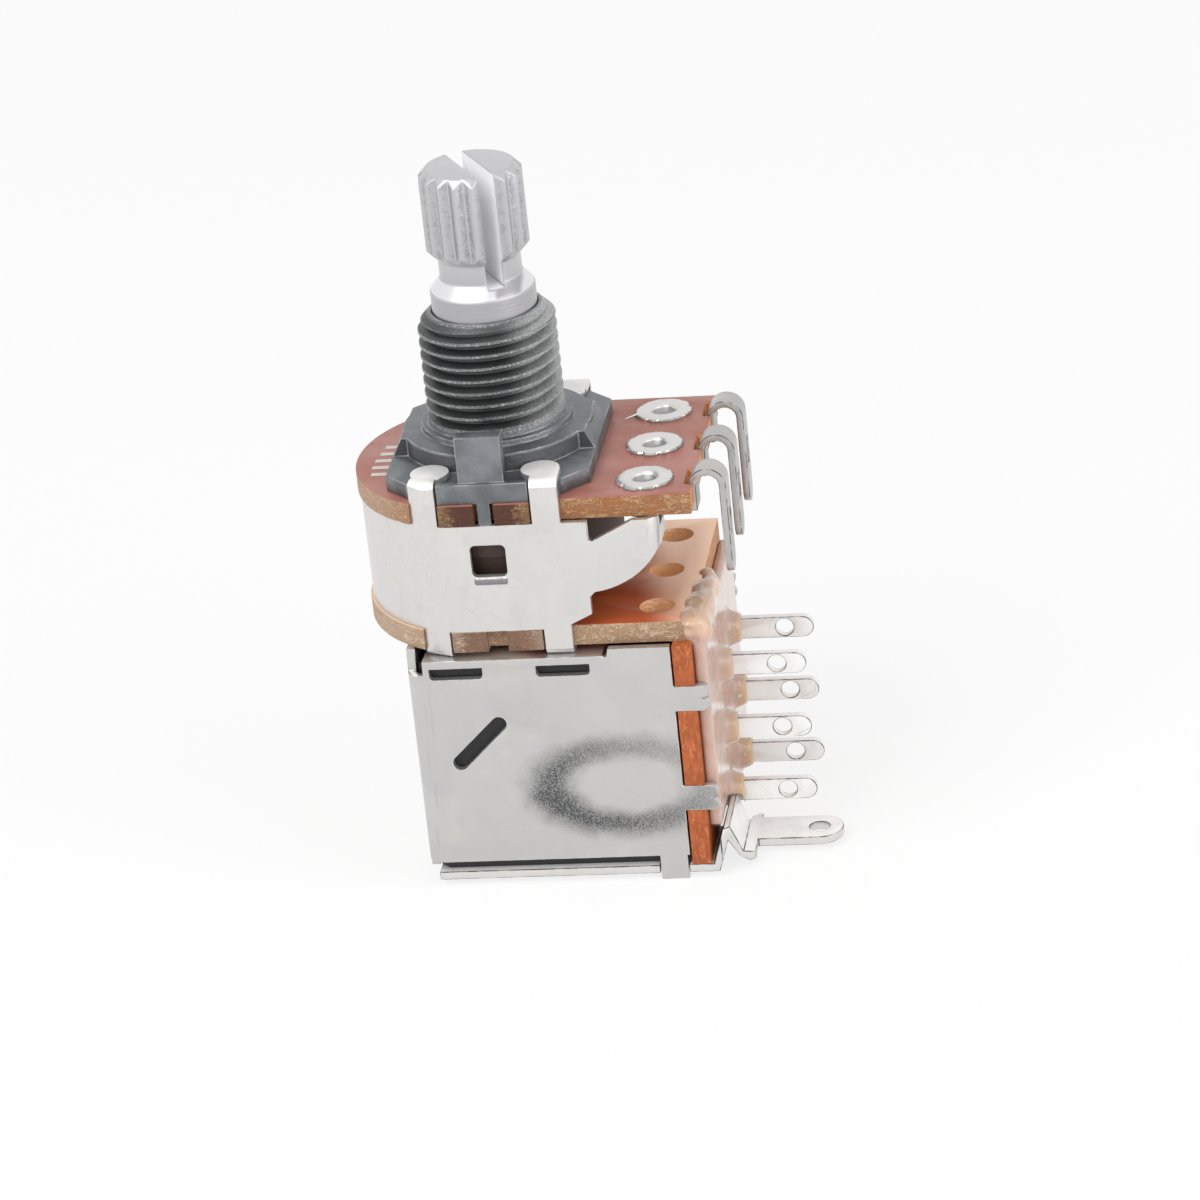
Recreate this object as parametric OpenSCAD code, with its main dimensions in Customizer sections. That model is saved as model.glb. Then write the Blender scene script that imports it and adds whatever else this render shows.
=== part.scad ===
// Push-pull rotary potentiometer with a double-pole switch below it.
// The origin is on the shaft's axis, at the seat that bears on the panel.
// +Z is the way out of the panel, +X is the side of the terminals, -Y is the front.

/* [Shaft] */
// Diameter of the knurl and of the plain part in the bushing
shaft_d = 6; // [5.8:0.05:6.2]
// Height of the shaft's end above the seat, pushed in
shaft_top = 15.4; // [13:0.1:20]
// Length of the knurl
knurl_len = 5.3; // [3:0.1:6]
// Number of knurl teeth
knurl_teeth = 18; // [12:1:36]
// Depth of the knurl's grooves
knurl_depth = 0.4; // [0.15:0.05:0.5]
// Chamfer at the knurl's top
knurl_chamfer = 0.5; // [0.2:0.05:0.6]
// Chamfer at the knurl's lower end
knurl_foot = 0.65; // [0.3:0.05:0.8]
// Width of the saw slot that splits the knurl
slot_w = 1; // [0.6:0.1:1.4]
// Depth of the saw slot
slot_depth = 6.7; // [4:0.1:7]
// Direction of the saw slot, from +X
slot_turn = -61; // [-90:1:90]
// Diameter of the neck below the knurl
neck_d = 4.7; // [3.5:0.1:5.5]
// Length of the neck
neck_len = 1.15; // [0.4:0.05:1.5]
// Height of the cone between the neck and the collar
cone_h = 0.75; // [0.4:0.05:2]
// Diameter of the stem inside the housing
stem_d = 4; // [3:0.1:4.4]
// Width across the stem's two flats
stem_flats = 3.2; // [2.4:0.1:3.8]
// Depth of the stem's end in the carriage
stem_grip = 3.5; // [2.8:0.1:4.5]
// Depth of the stem's groove for the fork clip
groove_depth = 0.8; // [0.5:0.1:1]

/* [Bushing and plate] */
// Outer diameter of the thread
thread_d = 7.9; // [7.5:0.05:8.2]
// Height of the bushing above the seat
bushing_h = 7; // [5:0.1:9]
// Chamfer at the bushing's end
bushing_chamfer = 0.75; // [0.3:0.05:0.8]
// Diameter of the low rim round the thread's root
rim_d = 8.7; // [8.4:0.1:9.6]
// Height of that rim
rim_h = 0.35; // [0.1:0.05:0.6]
// Diameter of the seat's round boss
boss_d = 10.9; // [10:0.1:11.2]
// Height of the boss over the ledge that takes the folded tabs
boss_h = 1.1; // [0.8:0.05:1.6]
// Width of the two side blocks of the boss, along Y
block_w = 4.7; // [3:0.1:6]
// Thickness of the ledge
ledge_t = 0.95; // [0.7:0.05:1.4]
// Width of the plate, along X
plate_x = 11.7; // [11.4:0.1:12.5]
// Distance of the plate's front and back edges inside the wafers'
plate_inset = 0.8; // [0.6:0.1:1.2]
// Corner cut of the plate
plate_corner = 1.4; // [0.5:0.1:2]
// Width of the locating lug
key_w = 2.6; // [2:0.1:3]
// Thickness of the locating lug
key_t = 0.9; // [0.6:0.05:1.2]
// Height of the locating lug above the seat
key_h = 1.9; // [1:0.1:2.5]
// Distance of the plate's nose from the band's front face
nose_back = 0.2; // [0.1:0.05:0.4]
// Height of the nose's front edge over the ledge
nose_rise = 0.25; // [0.1:0.05:0.4]

/* [Wafers] */
// Thickness of both wafers
wafer_t = 1.25; // [1:0.05:1.6]
// Width of the wafers, along Y
wafer_w = 14.6; // [14.2:0.1:15]
// Distance of the round end's edge past half of that width
wafer_bulge = 1.1; // [1:0.05:1.5]
// Gap between the plate and the rivets' flanges
rivet_gap = 1.35; // [1.1:0.05:1.7]
// Distance of the rivets' middles from the upper wafer's edge
rivet_back = 2.8; // [2.5:0.05:3.2]
// Distance of the outer rivets inside the wafers' front and back edges
rivet_margin = 2.3; // [2.2:0.1:2.7]
// Diameter of the rivet holes
rivet_hole_d = 2; // [1.6:0.1:2.2]
// Diameter of the rivets' flanges
rivet_flange_d = 3.3; // [2.8:0.1:3.6]
// Width of the nose between the tabs
nose_w = 5.2; // [4.6:0.1:5.4]
// Width of the small notch in the middle of the nose
nose_notch_w = 1.15; // [0.8:0.05:1.5]
// Depth of that notch
nose_notch_d = 0.8; // [0.6:0.05:1]
// Depth of the upper wafer's edge notches behind the hooks
edge_notch_d = 0.5; // [0.4:0.05:0.7]

/* [Terminals] */
// Thickness of the terminals' strip
strip_t = 0.4; // [0.25:0.05:0.4]
// Width of the terminals' strip
strip_w = 1.6; // [1.2:0.1:2]
// Distance of the hook's outer side from the wafer's edge
hook_span = 1.85; // [1.5:0.05:2.4]
// Distance of the hook's inner leg outside the wafer's edge
hook_step = 0.15; // [0.05:0.05:0.3]
// Height of the hook over the wafer's top
hook_rise = 0.8; // [0.6:0.05:1.2]
// Length of the hook's leg below the wafer's top
hook_drop = 5.7; // [4:0.1:7]
// Width of the solder slot in the leg
hook_slot_w = 0.8; // [0.5:0.1:1]
// Length of the solder slot in the leg
hook_slot_l = 1.6; // [1.2:0.1:2.4]
// Depth of the slot's lower end below the wafer's top
hook_slot_drop = 3.4; // [3:0.1:4]
// Wall of the tubular rivets
rivet_wall = 0.3; // [0.2:0.05:0.4]
// Thickness of the rivets' flanges
flange_t = 0.25; // [0.2:0.05:0.35]

/* [Case band] */
// Thickness of the band's sheet
band_t = 0.4; // [0.3:0.05:0.45]
// Distance of the band's round end inside the wafers' edge
band_inset = 0.15; // [0.1:0.05:0.3]
// Distance of the band's front and back faces outside the wafers' edges
band_outset = 0.5; // [0.4:0.05:0.6]
// Height of the band, which is the room between the wafers
band_h = 6.5; // [6:0.1:8]
// Reach of the band's wings
wing_reach = 9.75; // [9.4:0.05:10]
// Radius that joins the band's round end to its front and back faces
band_corner = 4; // [2:0.1:6]
// Outer bend radius of the wings
wing_bend = 0.9; // [0.6:0.1:1.2]
// Height of the wings at their bend
wing_h = 1.75; // [1.4:0.05:2.4]
// Width of the front window
window_w = 2; // [1.4:0.1:2.4]
// Height of the front window
window_h = 1.9; // [1.4:0.1:2.4]
// Depth of the window's top below the upper wafer
window_drop = 1.2; // [0.8:0.1:1.6]
// Left end of the gap between the band and the upper wafer
gap_left = 5.75; // [5.5:0.05:6]
// Right end of that gap, where the wing meets the wafer
gap_right = 8.3; // [8:0.1:8.6]
// Depth of that gap at its left end
gap_h = 1.1; // [0.8:0.1:1.4]
// Width of each folded tab
tab_w = 1.6; // [1.4:0.1:1.8]
// Diameter of the round heads of the tabs over the plate
head_d = 2.2; // [1.8:0.1:2.4]
// Distance of those heads' middles inside the tabs' own
head_in = 0.35; // [0.1:0.05:0.5]
// Distance of the folded tabs' middle from the axis, along X
tab_x = 3.5; // [3.4:0.05:3.6]

/* [Track and rotor] */
// Inner radius of the resistive track, as a share of the rotor's radius
track_share = 0.754; // [0.74:0.002:0.77]
// Width of the resistive track
track_w = 1.2; // [0.8:0.1:1.4]
// Inner radius of the collector ring, as a share of the rotor's radius
ring_share = 0.558; // [0.55:0.002:0.57]
// Width of the collector ring
ring_w = 0.8; // [0.5:0.1:0.9]
// Thickness of both printed layers
print_t = 0.06; // [0.05:0.01:0.1]
// Room between the rotor and the band's sheet
rotor_room = 0.5; // [0.4:0.05:0.8]
// Diameter of the rotor's upper journal, as a share of the rotor's diameter
journal_share = 0.493; // [0.48:0.001:0.51]
// Step from the upper journal in to the lower one
pivot_step = 0.4; // [0.2:0.1:0.6]
// Wall thickness of the rotor's skirt and web
rotor_wall = 1.1; // [0.8:0.1:1.4]
// Height of the rotor's rim above its web
rotor_rim = 1.5; // [1.2:0.1:1.8]
// Height of the rotor's skirt below its web
rotor_skirt = 2; // [1.5:0.1:2.5]
// Room between the rotor's rim and the upper wafer
rotor_gap = 0.8; // [0.6:0.1:1]

/* [Switch frame] */
// Thickness of the frame's sheet
frame_t = 0.5; // [0.4:0.05:0.6]
// Distance of the frame's front and back faces outside the band's
frame_outset = 0.2; // [0.1:0.05:0.4]
// Reach of the frame to the left of the axis
frame_left = 5.5; // [5.2:0.1:6]
// Reach of the frame to the terminals' side
frame_right = 9.75; // [9.6:0.05:10]
// Outer bend radius of the frame's corners
frame_bend = 1; // [0.8:0.1:1.4]
// Depth of the frame's top flanges
flange_y = 2.6; // [1.5:0.1:3]
// Right end of the frame's low front edge, where the raised part begins
step_x = 6; // [5.8:0.05:6.2]
// Distance of the left window's middle from the axis, along X
port_left = -2.6; // [-2.8:0.05:-2.4]
// Distance of the right window's middle from the axis, along X
port_right = 3.55; // [3.4:0.05:3.8]
// Width of the two upper windows
port_w = 3.05; // [2.5:0.05:3.4]
// Height of the two upper windows
port_h = 0.75; // [0.5:0.05:1]
// Width of the slanted slot
cam_w = 0.86; // [0.6:0.02:1]
// Length of the slanted slot between its end centres
cam_len = 3.4; // [2.5:0.1:4]
// Distance of the slot's lower end centre from the axis, along X
cam_x = -2.9; // [-3.2:0.05:-2.6]
// Depth of that centre below the frame's flange
cam_drop = 6.4; // [6:0.05:6.8]
// Slant of the slot above the level
cam_turn = 44; // [30:1:60]
// Height of the frame's tabs in the board's notches
lock_h = 1.55; // [1.2:0.05:1.8]
// Pitch of those tabs
lock_pitch = 6.25; // [5.8:0.05:6.4]
// Height of the tabs' mean level above the middle row of lugs
lock_rise = 1.3; // [1:0.05:1.6]
// Reach of the tabs' crimped ends past the board
lock_reach = 0.9; // [0.6:0.05:1.2]

/* [Base plate] */
// Thickness of the base plate
base_t = 0.5; // [0.4:0.05:0.6]
// Gap between the frame's walls and the base plate
base_gap = 0.6; // [0.3:0.05:0.8]
// Height of the hump before the ground lug
hump_h = 2.1; // [1.5:0.1:2.6]
// Length of the hump's rising leg
hump_rise = 0.65; // [0.5:0.05:0.9]
// Length of the hump's top
hump_top = 0.35; // [0.2:0.05:0.6]
// Length of the hump's falling leg
hump_fall = 1.1; // [0.9:0.05:1.5]
// Width of the ground lug
ground_w = 2.8; // [2.2:0.1:3.4]
// Distance of the ground lug's end from the axis
ground_reach = 18.2; // [17:0.1:20]
// Diameter of the ground lug's hole
ground_hole_d = 1.2; // [1:0.1:1.6]
// Distance of the ground lug from the shaft's axis, along Y
ground_y = -3.6; // [-4:0.1:-3.4]
// Height of the staked feet under the plate
foot_t = 0.4; // [0.3:0.05:0.5]
// Width of the staked feet
foot_w = 1.6; // [1:0.1:2]
// Distance of the feet from the shaft's axis, along X
foot_x = 8.8; // [6:0.1:8.8]

/* [Switch lugs] */
// Thickness of the terminal board
board_t = 1.1; // [0.8:0.05:1.4]
// Thickness of the lugs' strip
lug_t = 0.5; // [0.4:0.05:0.6]
// Height of each lug
lug_h = 1.3; // [1.1:0.05:1.5]
// Pitch of the lugs' rows
lug_pitch = 4; // [3.8:0.05:4.1]
// Distance between the lugs' two columns
lug_gap = 5; // [4.4:0.1:5.4]
// Distance of the lugs' ends from the axis
lug_reach = 16.75; // [15.5:0.05:18]
// Diameter of the lugs' holes
lug_hole_d = 1.05; // [0.9:0.05:1.1]
// Distance of the lugs' holes from their ends
lug_hole_back = 1.7; // [1.5:0.05:2]
// Depth of the highest row below the frame's flange
lug_top_drop = 3.3; // [3:0.05:3.6]
// Distance of the lowest row above the frame's lower edge
lug_bottom_room = 1.45; // [1.2:0.05:1.8]
// Thickness of the resin on the board
resin_t = 0.75; // [0.4:0.05:1]
// Reach of the resin along each lug
resin_grip = 1.6; // [1:0.1:2]
// Depth of the lugs' inner ends behind the board
lug_inset = 0.6; // [0.4:0.05:0.8]

/* [Switch inside] */
// Travel of the shaft and the carriage
pull_travel = 4; // [3.8:0.05:4.1]
// Room over the pulled carriage, which the frame's height leaves
carriage_room = 1.15; // [1:0.05:1.6]
// Wall thickness of the switch body
body_wall = 0.8; // [0.6:0.05:1]
// Thickness of the fork clip
clip_t = 0.5; // [0.4:0.05:0.6]
// Drop of the fork clip below the carriage's top
clip_drop = 1.6; // [1.2:0.1:2]
// Thickness of the detent spring
detent_t = 0.2; // [0.15:0.05:0.3]
// Room for the detent spring beside the carriage
detent_room = 1.1; // [0.9:0.1:1.4]
// Thickness of the contact bridges
bridge_t = 0.3; // [0.2:0.05:0.35]
// Width of the contact bridges
bridge_w = 1.8; // [1.4:0.1:2]
// Reach of the bridges' bumps towards the lugs
bump_reach = 1.75; // [1.2:0.05:2]
// Side of the bridges' square bumps
bump_w = 1; // [0.8:0.1:1.2]

/* [Clearances] */
// Radial clearance of each shaft or journal in its hole
fit_clear = 0.05; // [0.02:0.01:0.1]
// Clearance of sliding and contact faces
slide_clear = 0.1; // [0.05:0.01:0.2]
// Free room beside moving pieces
free_clear = 0.4; // [0.3:0.05:0.5]

/* [Hidden] */
$fn = 64;
// Cuts run this far past the faces they open
eps = 0.5;

// Widths along Y, which follow the wafers
wafer_r = wafer_w / 2 + wafer_bulge;
band_r = wafer_r - band_inset;
band_y = wafer_w / 2 + band_outset;
corner_y = band_y - band_corner;
corner_x = -sqrt(pow(band_r - band_corner, 2) - pow(corner_y, 2));
frame_y = band_y + frame_outset;
plate_y = wafer_w - 2 * plate_inset;
rivet_pitch = wafer_w / 2 - rivet_margin;
wing_return = band_y - rivet_pitch;
rotor_d = 2 * (band_y - band_t - rotor_room);
track_r = track_share * rotor_d / 2;
ring_r = ring_share * rotor_d / 2;
journal_d = journal_share * rotor_d;
pivot_d = journal_d - 2 * pivot_step;

// Levels from the seat down
upper_top = -boss_h - ledge_t;
upper_bottom = upper_top - wafer_t;
lower_top = upper_bottom - band_h;
lower_bottom = lower_top - wafer_t;
frame_top = lower_bottom - band_t;
frame_h = lug_top_drop + 2 * lug_pitch + lug_bottom_room;
frame_bottom = frame_top - frame_h;
base_top = frame_bottom - base_gap;
base_bottom = base_top - base_t;
base_left = -frame_left + base_gap;

// Shaft levels and radii
shaft_r = shaft_d / 2;
knurl_bottom = shaft_top - knurl_len;
neck_bottom = knurl_bottom - neck_len;
collar_top = neck_bottom - cone_h;
plain_bottom = upper_top + slide_clear + fit_clear;
stem_r = stem_d / 2;
bore_r = shaft_r + fit_clear;
stem_hole_r = stem_r + fit_clear;
carriage_bottom = base_top + base_gap / 2;
carriage_h = frame_h - pull_travel - carriage_room;
carriage_top = carriage_bottom + carriage_h;
stem_bottom = carriage_top - stem_grip;
groove_r = stem_r - groove_depth;
groove_h = clip_t + 2 * slide_clear;
clip_z = carriage_top - clip_drop;

// Rotor levels
rotor_top = upper_bottom - rotor_gap;
web_z = rotor_top - rotor_rim;
rotor_bottom = lower_top + slide_clear;
track_z = upper_bottom - print_t;
eyelet_d = rivet_flange_d - 0.4;
rivet_x = plate_x / 2 + rivet_gap + rivet_flange_d / 2;
upper_reach = rivet_x + rivet_back;
hook_reach = upper_reach + hook_span;

// Switch levels and places
board_x = frame_right + slide_clear;
board_right = board_x + board_t;
lower_reach = board_right + slide_clear;
rows = [for (i = [0:2]) frame_top - lug_top_drop - i * lug_pitch];
locks = [for (i = [0:1]) rows[1] + (0.5 - i) * lock_pitch + lock_rise];
body_left = -frame_left + frame_t + fit_clear;
body_y = frame_y - frame_t - fit_clear;
body_top = frame_top - frame_t;
carriage_y = body_y - body_wall - free_clear;
carriage_left = body_left + body_wall + detent_room;
lug_inner = board_x - lug_inset;
carriage_right = lug_inner - slide_clear - bump_reach;
bridge_z = carriage_bottom + 0.2;
bridge_h = rows[1] + bump_w - bridge_z;
detent_z = carriage_bottom + (carriage_h + pull_travel) / 2;

// Points on an arc about (cx, cy), from angle a0 to a1
function arc_pts(cx, cy, r, a0, a1, n) =
    [for (i = [0:n]) [cx + r * cos(a0 + (a1 - a0) * i / n), cy + r * sin(a0 + (a1 - a0) * i / n)]];

// Plate in the XZ plane: drawn as (x, z) and centred on y, with the thickness t along Y
module upright(y, t) {
    translate([0, y + t / 2, 0]) rotate([90, 0, 0]) linear_extrude(t) children();
}

// Profile in the YZ plane: drawn as (y, z) and centred on x, with the width w along X
module sideways(x, w) {
    translate([x - w / 2, 0, 0]) rotate([90, 0, 90]) linear_extrude(w) children();
}

// The same shape on the front and on the back
module both_sides() {
    children();
    mirror([0, 1, 0]) children();
}

// Bar with a round end towards +X, in the XZ plane
module lug_bar(x0, x1, h) {
    translate([x0, -h / 2]) square([x1 - h / 2 - x0, h]);
    translate([x1 - h / 2, 0]) circle(d = h);
}

// Toothed outline of the knurl
module knurl_outline() {
    polygon([for (i = [0:2 * knurl_teeth - 1])
        let (a = 180 * i / knurl_teeth, r = shaft_r - (i % 2) * knurl_depth)
        [r * cos(a), r * sin(a)]]);
}

// Split knurled shaft with its stem for the rotor and the switch
module shaft() {
    color([0.78, 0.78, 0.8]) difference() {
        union() {
            intersection() {
                translate([0, 0, knurl_bottom]) linear_extrude(knurl_len) knurl_outline();
                rotate_extrude() polygon([[0, knurl_bottom], [shaft_r - knurl_foot, knurl_bottom],
                    [shaft_r, knurl_bottom + knurl_foot], [shaft_r, shaft_top - knurl_chamfer],
                    [shaft_r - knurl_chamfer, shaft_top], [0, shaft_top]]);
            }
            rotate_extrude() polygon([[0, plain_bottom], [shaft_r, plain_bottom],
                [shaft_r, collar_top], [neck_d / 2, neck_bottom],
                [neck_d / 2, knurl_bottom], [0, knurl_bottom]]);
            intersection() {
                translate([0, 0, stem_bottom]) cylinder(r = stem_r, h = plain_bottom - stem_bottom);
                translate([-stem_r - eps, -stem_flats / 2, stem_bottom])
                    cube([2 * (stem_r + eps), stem_flats, plain_bottom - stem_bottom]);
            }
            translate([0, 0, stem_bottom]) cylinder(r = stem_r, h = carriage_top - stem_bottom);
        }
        rotate([0, 0, slot_turn]) translate([-shaft_r - eps, -slot_w / 2, shaft_top - slot_depth])
            cube([2 * (shaft_r + eps), slot_w, slot_depth + eps]);
        translate([0, 0, clip_z - groove_h / 2]) difference() {
            cylinder(r = stem_r + eps, h = groove_h);
            translate([0, 0, -eps]) cylinder(r = groove_r, h = groove_h + 2 * eps);
        }
    }
}

// Octagon of the plate's ledge
module plate_outline() {
    x = plate_x / 2;
    y = plate_y / 2;
    c = plate_corner;
    polygon([[-x, -y + c], [-x + c, -y], [x - c, -y], [x, -y + c],
        [x, y - c], [x - c, y], [-x + c, y], [-x, y - c]]);
}

// Zinc bushing, its plate and the locating lug, cast in one piece
module bushing_plate() {
    edge = boss_h / 2;
    side = plate_x / 2;
    front = band_y - nose_back;
    tongue_w = nose_notch_w - free_clear;
    color([0.47, 0.5, 0.54]) difference() {
        union() {
            translate([0, 0, upper_top]) linear_extrude(ledge_t) plate_outline();
            translate([0, 0, upper_top]) linear_extrude(ledge_t) intersection() {
                translate([-tab_x - tab_w / 2, -band_y]) square([2 * tab_x + tab_w, plate_y / 2]);
                band_outline(band_t + slide_clear);
            }
            translate([0, 0, upper_top]) cylinder(d = boss_d, h = -upper_top);
            upright(0, block_w) polygon([[-side, upper_top], [side, upper_top], [side, -boss_h],
                [side - edge, 0], [-side + edge, 0], [-side, -boss_h]]);
            cylinder(d = rim_d, h = rim_h);
            rotate_extrude() polygon([[0, upper_top], [thread_d / 2, upper_top],
                [thread_d / 2, bushing_h - bushing_chamfer],
                [thread_d / 2 - bushing_chamfer, bushing_h], [0, bushing_h]]);
            translate([-nose_w / 2, -front, upper_top]) cube([nose_w, front - plate_y / 2 + eps, ledge_t]);
            translate([-nose_w / 2, -front, upper_top]) cube([nose_w, key_t / 2, ledge_t + nose_rise]);
            translate([-key_w / 2, -front + nose_back, upper_top])
                cube([key_w, key_t, key_h - upper_top]);
            translate([-tongue_w / 2, -front, upper_bottom])
                cube([tongue_w, nose_notch_d - nose_back, wafer_t + eps]);
        }
        translate([0, 0, upper_top - eps]) cylinder(r = bore_r, h = bushing_h - upper_top + 2 * eps);
    }
}

// Outline that both wafers share: a round end, a straight body and the two noses
module wafer_outline(reach) {
    difference() {
        union() {
            intersection() {
                circle(r = wafer_r, $fn = 96);
                translate([-wafer_r - eps, -wafer_w / 2]) square([2 * wafer_r, wafer_w]);
            }
            translate([0, -wafer_w / 2]) square([reach, wafer_w]);
            translate([-nose_w / 2, -band_y]) square([nose_w, 2 * band_y]);
        }
        for (side = [-1, 1]) {
            translate([0, side * band_y]) square([nose_notch_w, 2 * nose_notch_d], center = true);
        }
        difference() {
            both_sides() for (x = [-tab_x, tab_x])
                translate([x - tab_w / 2, -band_y - eps]) square([tab_w, band_y / 4]);
            band_outline(band_t);
        }
    }
}

// Places of the three rivets, front to back
module rivet_places() {
    for (i = [-1, 0, 1]) translate([rivet_x, i * rivet_pitch, 0]) children();
}

// Phenolic wafer with the rotor's journal hole and the rivet holes
module wafer(reach, bottom, hole_d) {
    difference() {
        translate([0, 0, bottom]) linear_extrude(wafer_t) wafer_outline(reach);
        translate([0, 0, bottom - eps]) cylinder(d = hole_d + 2 * fit_clear, h = wafer_t + 2 * eps);
        rivet_places() translate([0, 0, bottom - eps])
            cylinder(d = rivet_hole_d, h = wafer_t + 2 * eps);
    }
}

// Upper wafer with an edge notch for each terminal
module upper_wafer() {
    notch_y = strip_w / 2 + slide_clear;
    color([0.72, 0.45, 0.38]) difference() {
        wafer(upper_reach, upper_bottom, journal_d);
        for (i = [-1, 0, 1])
            translate([upper_reach - edge_notch_d, i * rivet_pitch - notch_y, upper_bottom - eps])
                cube([edge_notch_d + eps, notch_y + strip_w / 2 + eps, wafer_t + 2 * eps]);
    }
}

// Lower wafer, whose rivet holes stay empty
module lower_wafer() {
    color([0.84, 0.62, 0.45]) wafer(lower_reach, lower_bottom, pivot_d);
}

// Printed resistive track, a C that ends in a pad round each outer rivet
module resistive_track() {
    gap = 3;
    lead_w = 1.3;
    lead_x = rivet_x / 2;
    color([0.12, 0.12, 0.12]) translate([0, 0, track_z]) linear_extrude(print_t) difference() {
        union() {
            difference() {
                circle(r = track_r + track_w);
                circle(r = track_r);
                translate([0, -gap / 2]) square([2 * track_r, gap]);
            }
            for (i = [-1, 1]) {
                translate([rivet_x, i * rivet_pitch]) circle(d = eyelet_d);
                translate([lead_x, i * rivet_pitch - lead_w]) square([rivet_x - lead_x, lead_w]);
            }
        }
        circle(r = track_r);
        for (i = [-1, 1]) translate([rivet_x, i * rivet_pitch]) circle(d = rivet_hole_d);
    }
}

// Printed collector ring with its lead to the middle rivet
module collector_ring() {
    color([0.75, 0.75, 0.72]) translate([0, 0, track_z]) linear_extrude(print_t) difference() {
        union() {
            circle(r = ring_r + ring_w);
            translate([0, -track_w / 2]) square([rivet_x, track_w]);
            translate([rivet_x, 0]) circle(d = eyelet_d);
        }
        circle(r = ring_r);
        translate([rivet_x, 0]) circle(d = rivet_hole_d);
    }
}

// Side view of a hooked terminal: under the wafer, up through its notch, over and down
module hook_profile() {
    t = strip_t;
    x0 = upper_reach + hook_step - t;
    crown = upper_top + hook_rise;
    bend = (hook_reach - x0) / 2;
    difference() {
        union() {
            translate([rivet_x, track_z - t]) square([x0 + t - rivet_x, t]);
            translate([x0, track_z - t]) square([t, crown - bend - track_z + t]);
            translate([x0 + bend, crown - bend]) circle(r = bend);
            translate([hook_reach - t, upper_top - hook_drop + strip_w / 2])
                square([t, crown - bend - upper_top + hook_drop - strip_w / 2]);
        }
        translate([x0 + bend, crown - bend]) circle(r = bend - t);
        translate([x0 + t, crown - 2 * bend - eps]) square([2 * (bend - t), bend + eps]);
    }
}

// Hook terminal on rivet number i, with a round eyelet and a slotted leg
module terminal(i) {
    y = i * rivet_pitch;
    tip_z = upper_top - hook_drop + strip_w / 2;
    color([0.8, 0.8, 0.79]) difference() {
        union() {
            upright(y, strip_w) hook_profile();
            translate([rivet_x, y, track_z - strip_t]) cylinder(d = eyelet_d, h = strip_t);
            translate([hook_reach - strip_t, y, tip_z])
                rotate([0, 90, 0]) cylinder(d = strip_w, h = strip_t);
        }
        translate([rivet_x, y, track_z - strip_t - eps])
            cylinder(d = rivet_hole_d, h = strip_t + 2 * eps);
        translate([hook_reach - 2 * strip_t, y - hook_slot_w / 2, upper_top - hook_slot_drop])
            cube([3 * strip_t, hook_slot_w, hook_slot_l]);
    }
}

module terminal_1() terminal(-1);
module terminal_2() terminal(0);
module terminal_3() terminal(1);

// Tubular rivet with a flange over the wafer and one under the eyelet
module rivet() {
    under = track_z - strip_t;
    hole_r = rivet_hole_d / 2;
    lower_r = hole_r + 0.4;
    rotate_extrude() polygon([[hole_r - rivet_wall, under - flange_t], [lower_r, under - flange_t],
        [lower_r, under], [hole_r, under], [hole_r, upper_top], [rivet_flange_d / 2, upper_top],
        [rivet_flange_d / 2 - 0.1, upper_top + flange_t], [hole_r, upper_top + flange_t + 0.05],
        [hole_r - rivet_wall, upper_top + flange_t - 0.1]]);
}

// Three rivets, one on each terminal
module terminal_rivets() {
    color([0.82, 0.82, 0.8]) rivet_places() rivet();
}

// Distance of the band's outer face from the XZ plane, at x
function wall_y(x) = x > corner_x ? band_y : x > corner_x * band_r / (band_r - band_corner) ?
    corner_y + sqrt(pow(band_corner, 2) - pow(x - corner_x, 2)) : sqrt(pow(band_r, 2) - pow(x, 2));

// Outline of the band's sheet, at the distance d inside its outer face
module band_outline(d) {
    x = wing_reach - wing_bend;
    y = band_y - wing_bend;
    turn = atan2(corner_y, corner_x);
    polygon(concat(arc_pts(x, -y, wing_bend - d, -90, 0, 8), arc_pts(x, y, wing_bend - d, 0, 90, 8),
        arc_pts(corner_x, corner_y, band_corner - d, 90, turn, 8),
        arc_pts(0, 0, band_r - d, turn, 360 - turn, 36),
        arc_pts(corner_x, -corner_y, band_corner - d, 360 - turn, 270, 8)));
}

// Window with round corners, centred
module window_outline(w, h, r) {
    square([w - 2 * r, h], center = true);
    square([w, h - 2 * r], center = true);
    for (x = [-1, 1], z = [-1, 1]) translate([x * (w / 2 - r), z * (h / 2 - r)]) circle(r = r);
}

// Part of the band's front that the wing's sweeping lower edge leaves away
module wing_cut() {
    low = lower_top - eps;
    tab_edge = tab_x + tab_w / 2;
    foot_x = gap_left - 0.2;
    sweep_r = 5.2;
    sweep_z = upper_bottom + 0.85;
    polygon(concat([[wing_reach + eps, low], [wing_reach + eps, upper_bottom - wing_h]],
        arc_pts(sweep_r, sweep_z, sweep_r, -31, -83, 10),
        [[foot_x, sweep_z - sweep_r - 0.25], [foot_x, lower_top + 0.85],
        [tab_edge, lower_top + 0.25], [tab_edge, low]]));
}

// A front tab seen from above as far back as y = end, its outer face the depth d inside the band's
module tab_plan(x, d, end) {
    intersection() {
        band_outline(d);
        translate([x - tab_w / 2, -band_y]) square([tab_w, band_y + end]);
    }
}

// Upright part of the tab at x, which goes on as the band's own wall
module tab_wall(x, low, h) {
    translate([0, 0, low]) linear_extrude(h) difference() {
        tab_plan(x, 0, 0);
        band_outline(band_t);
    }
}

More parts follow.
